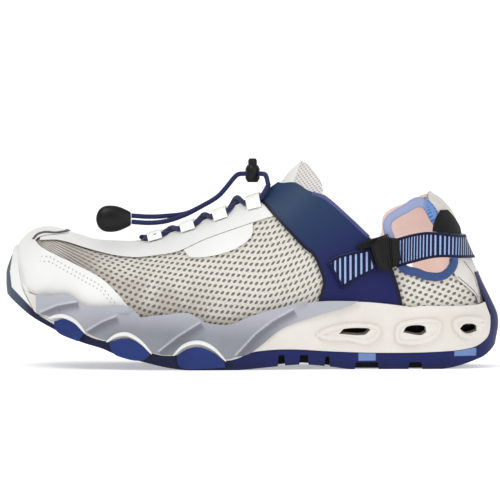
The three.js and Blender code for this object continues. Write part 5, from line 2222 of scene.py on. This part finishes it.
    def lock(self) -> bpy.types.Object:
        """Builds the barrel lock with its button.

        Returns:
            The lock.
        """
        half = self.lock_height / 2
        profile = np.array([
            (0, -half), (self.lock_radius * 0.7, -half), (self.lock_radius, -half * 0.6),
            (self.lock_radius, half * 0.6), (self.lock_radius * 0.75, half), (self.button_radius, half),
            (self.button_radius, half + self.button_height * 0.7),
            (self.button_radius * 0.7, half + self.button_height), (0, half + self.button_height),
        ])
        made = turned("lock", profile, self.looks.plastic)
        made.data.transform(Matrix.Translation(self.LOCK))
        return self.place(sharpen(made), "cord_lock_body", "black_plastic", "cord_lock")

    def stop(self) -> bpy.types.Object:
        """Builds the teardrop stop on the cord ends.

        Returns:
            The stop.
        """
        shares = np.array([(0, 0), (0, 0.44), (0.12, 0.66), (0.34, 0.91), (0.55, 1), (0.76, 0.95), (0.91, 0.69),
                           (0.98, 0.33), (1, 0)])
        profile = np.stack([shares[:, 1] * self.stop_height / 2, shares[:, 0] * self.stop_length], -1)
        made = turned("stop", smooth_line(profile, 5, sharp_start=True), self.looks.plastic)
        flat = Matrix.Diagonal((self.stop_width / self.stop_height, 1, 1, 1))
        made.data.transform(Matrix.Translation(self.STOP) @ Matrix.Rotation(-math.pi / 2, 4, "Y")
                            @ Matrix.Rotation(math.pi / 2, 4, "Z") @ flat)
        return self.place(sharpen(made), "end_stop_body", "black_plastic", "end_stop")


def crown(x: float, y: float) -> float:
    """Gives the height of the last over a place in plan.

    Args:
        x: Place along the shoe.
        y: Place across it.

    Returns:
        The height.
    """
    s = Last.section(x)
    share = min(abs(y - float(s["centre"])) / float(s["half"]), 1)
    return float(s["widest"] + s["rise"] * (1 - share ** s["power"]) ** (1 / s["power"]))


def smooth_line(points: np.ndarray, steps: int, sharp_start: bool = False) -> np.ndarray:
    """Runs a smooth line through points.

    Args:
        points: The points.
        steps: New points for each stretch.
        sharp_start: Whether the first stretch stays straight.

    Returns:
        The denser line.
    """
    reach = np.maximum(np.linalg.norm(np.diff(points, axis=0), axis=1), 1e-6)
    places = np.concatenate([[0], np.sqrt(reach).cumsum()])
    dense = np.concatenate([np.linspace(places[i], places[i + 1], steps, endpoint=False)
                            for i in range(len(points) - 1)] + [places[-1:]])
    line = np.stack([cubic(places, points[:, k], dense) for k in range(points.shape[1])], -1)
    if sharp_start:
        share = np.linspace(0, 1, steps, endpoint=False)[:, None]
        line[:steps] = points[0] * (1 - share) + points[1] * share
    return line


def tube(name: str, points: np.ndarray, radius: float, look: bpy.types.Material) -> bpy.types.Object:
    """Sweeps a round section along a line.

    Args:
        name: The object's name.
        points: The line.
        radius: The section's radius.
        look: Its material.

    Returns:
        The tube.
    """
    return sweep(name, points, np.tile((0.0, 0.05, 1.0), (len(points), 1)), 2 * radius, 2 * radius, look,
                 columns=12)


def curve(name: str, points: np.ndarray, radius: float, look: bpy.types.Material) -> bpy.types.Object:
    """Makes a round cord as a curve.

    Args:
        name: The object's name.
        points: Its centre line.
        radius: Its radius.
        look: Its material.

    Returns:
        The cord.
    """
    data = bpy.data.curves.new(name, "CURVE")
    data.dimensions = "3D"
    data.bevel_depth = radius
    data.bevel_resolution = 3
    data.use_fill_caps = True
    spline = data.splines.new("POLY")
    spline.points.add(len(points) - 1)
    for place, point in zip(spline.points, points):
        place.co = (*point, 1)
    data.materials.append(look)
    made = bpy.data.objects.new(name, data)
    bpy.context.scene.collection.objects.link(made)
    return made


def turned(name: str, profile: np.ndarray, look: bpy.types.Material, steps: int = 32) -> bpy.types.Object:
    """Turns a profile round Z.

    Args:
        name: The object's name.
        profile: Radius and height of each point.
        look: Its material.
        steps: Faces round it.

    Returns:
        The turned piece.
    """
    angle = np.linspace(0, 2 * math.pi, steps + 1)
    radius, height = profile[:, 0], profile[:, 1]
    points = np.stack([radius[:, None] * np.cos(angle), radius[:, None] * np.sin(angle),
                       np.repeat(height[:, None], steps + 1, 1)], -1)
    return surface(name, points, look)


@dataclass
class Studio:
    """The camera, the lights and the pale floor."""

    lens: float = 390.0
    distance: float = 3.16
    elevation: float = 1.6
    azimuth: float = 0.0
    floor_glow: float = 0.42
    aim: tuple[float, float, float] = (-1.2 * MM, -30 * MM, 69.3 * MM)

    def build(self) -> None:
        """Builds the studio."""
        self.camera()
        self.lights()
        self.floor()

    def camera(self) -> None:
        """Places the camera at the photograph's angle."""
        data = bpy.data.cameras.new("camera")
        data.lens = self.lens
        data.sensor_width = 36
        made = bpy.data.objects.new("camera", data)
        bpy.context.scene.collection.objects.link(made)
        turn, rise = math.radians(self.azimuth), math.radians(self.elevation)
        back = Vector((math.sin(turn) * math.cos(rise), -math.cos(turn) * math.cos(rise), math.sin(rise)))
        made.location = Vector(self.aim) + back * self.distance
        made.rotation_euler = back.to_track_quat("Z", "Y").to_euler()
        bpy.context.scene.camera = made

    def lights(self) -> None:
        """Hangs three soft boxes and lights the room evenly."""
        for name, place, size, power in (
            ("key", (-0.6, -0.9, 1.3), 0.8, 9.5),
            ("fill", (0.9, -1.1, 0.6), 0.9, 4.0),
            ("back", (0.2, 1.0, 1.2), 0.8, 1.5),
        ):
            data = bpy.data.lights.new(name, "AREA")
            data.size = size
            data.energy = power
            made = bpy.data.objects.new(name, data)
            bpy.context.scene.collection.objects.link(made)
            made.location = place
            made.rotation_euler = (Vector(place) - Vector((0, 0, 0.05))).to_track_quat("Z", "Y").to_euler()
        world = bpy.data.worlds.new("room")
        world.use_nodes = True
        world.node_tree.nodes["Background"].inputs["Color"].default_value = (1, 1, 1, 1)
        world.node_tree.nodes["Background"].inputs["Strength"].default_value = 0.52
        bpy.context.scene.world = world
        bpy.context.scene.view_settings.view_transform = "Standard"

    def floor(self) -> None:
        """Lays a pale floor that rises behind the shoe."""
        paint = Paint("floor")
        paint.shader.inputs["Emission Color"].default_value = (1, 1, 1, 1)
        paint.shader.inputs["Emission Strength"].default_value = self.floor_glow
        look = paint.finish(linear(0.97, 0.97, 0.97), 0.7)
        profile = np.array([(-6.0, 0.0), (4.0, 0.0), (4.4, 0.0), (4.8, 0.0), (5.4, 0.1), (5.7, 0.5), (5.8, 4.0)])
        line = smooth_line(profile, 8)
        rows = np.stack([np.stack([np.full(len(line), x), line[:, 0], line[:, 1]], -1) for x in (-6.0, 6.0)])
        made = surface("floor", rows, look)


def main() -> None:
    """Builds the shoe and its studio."""
    logging.basicConfig(level=logging.INFO, format="%(name)s: %(message)s")
    Studio().build()
    skins, looks = Skins(), Looks()
    lacing = Lacing(skins, looks)
    lacing.cords()
    Sole(skins, looks, Wall(skins)).build()
    Upper(skins, looks).build()
    Straps(skins, looks).build()
    lacing.build()
    skins.clear()


if __name__ == "__main__":
    main()
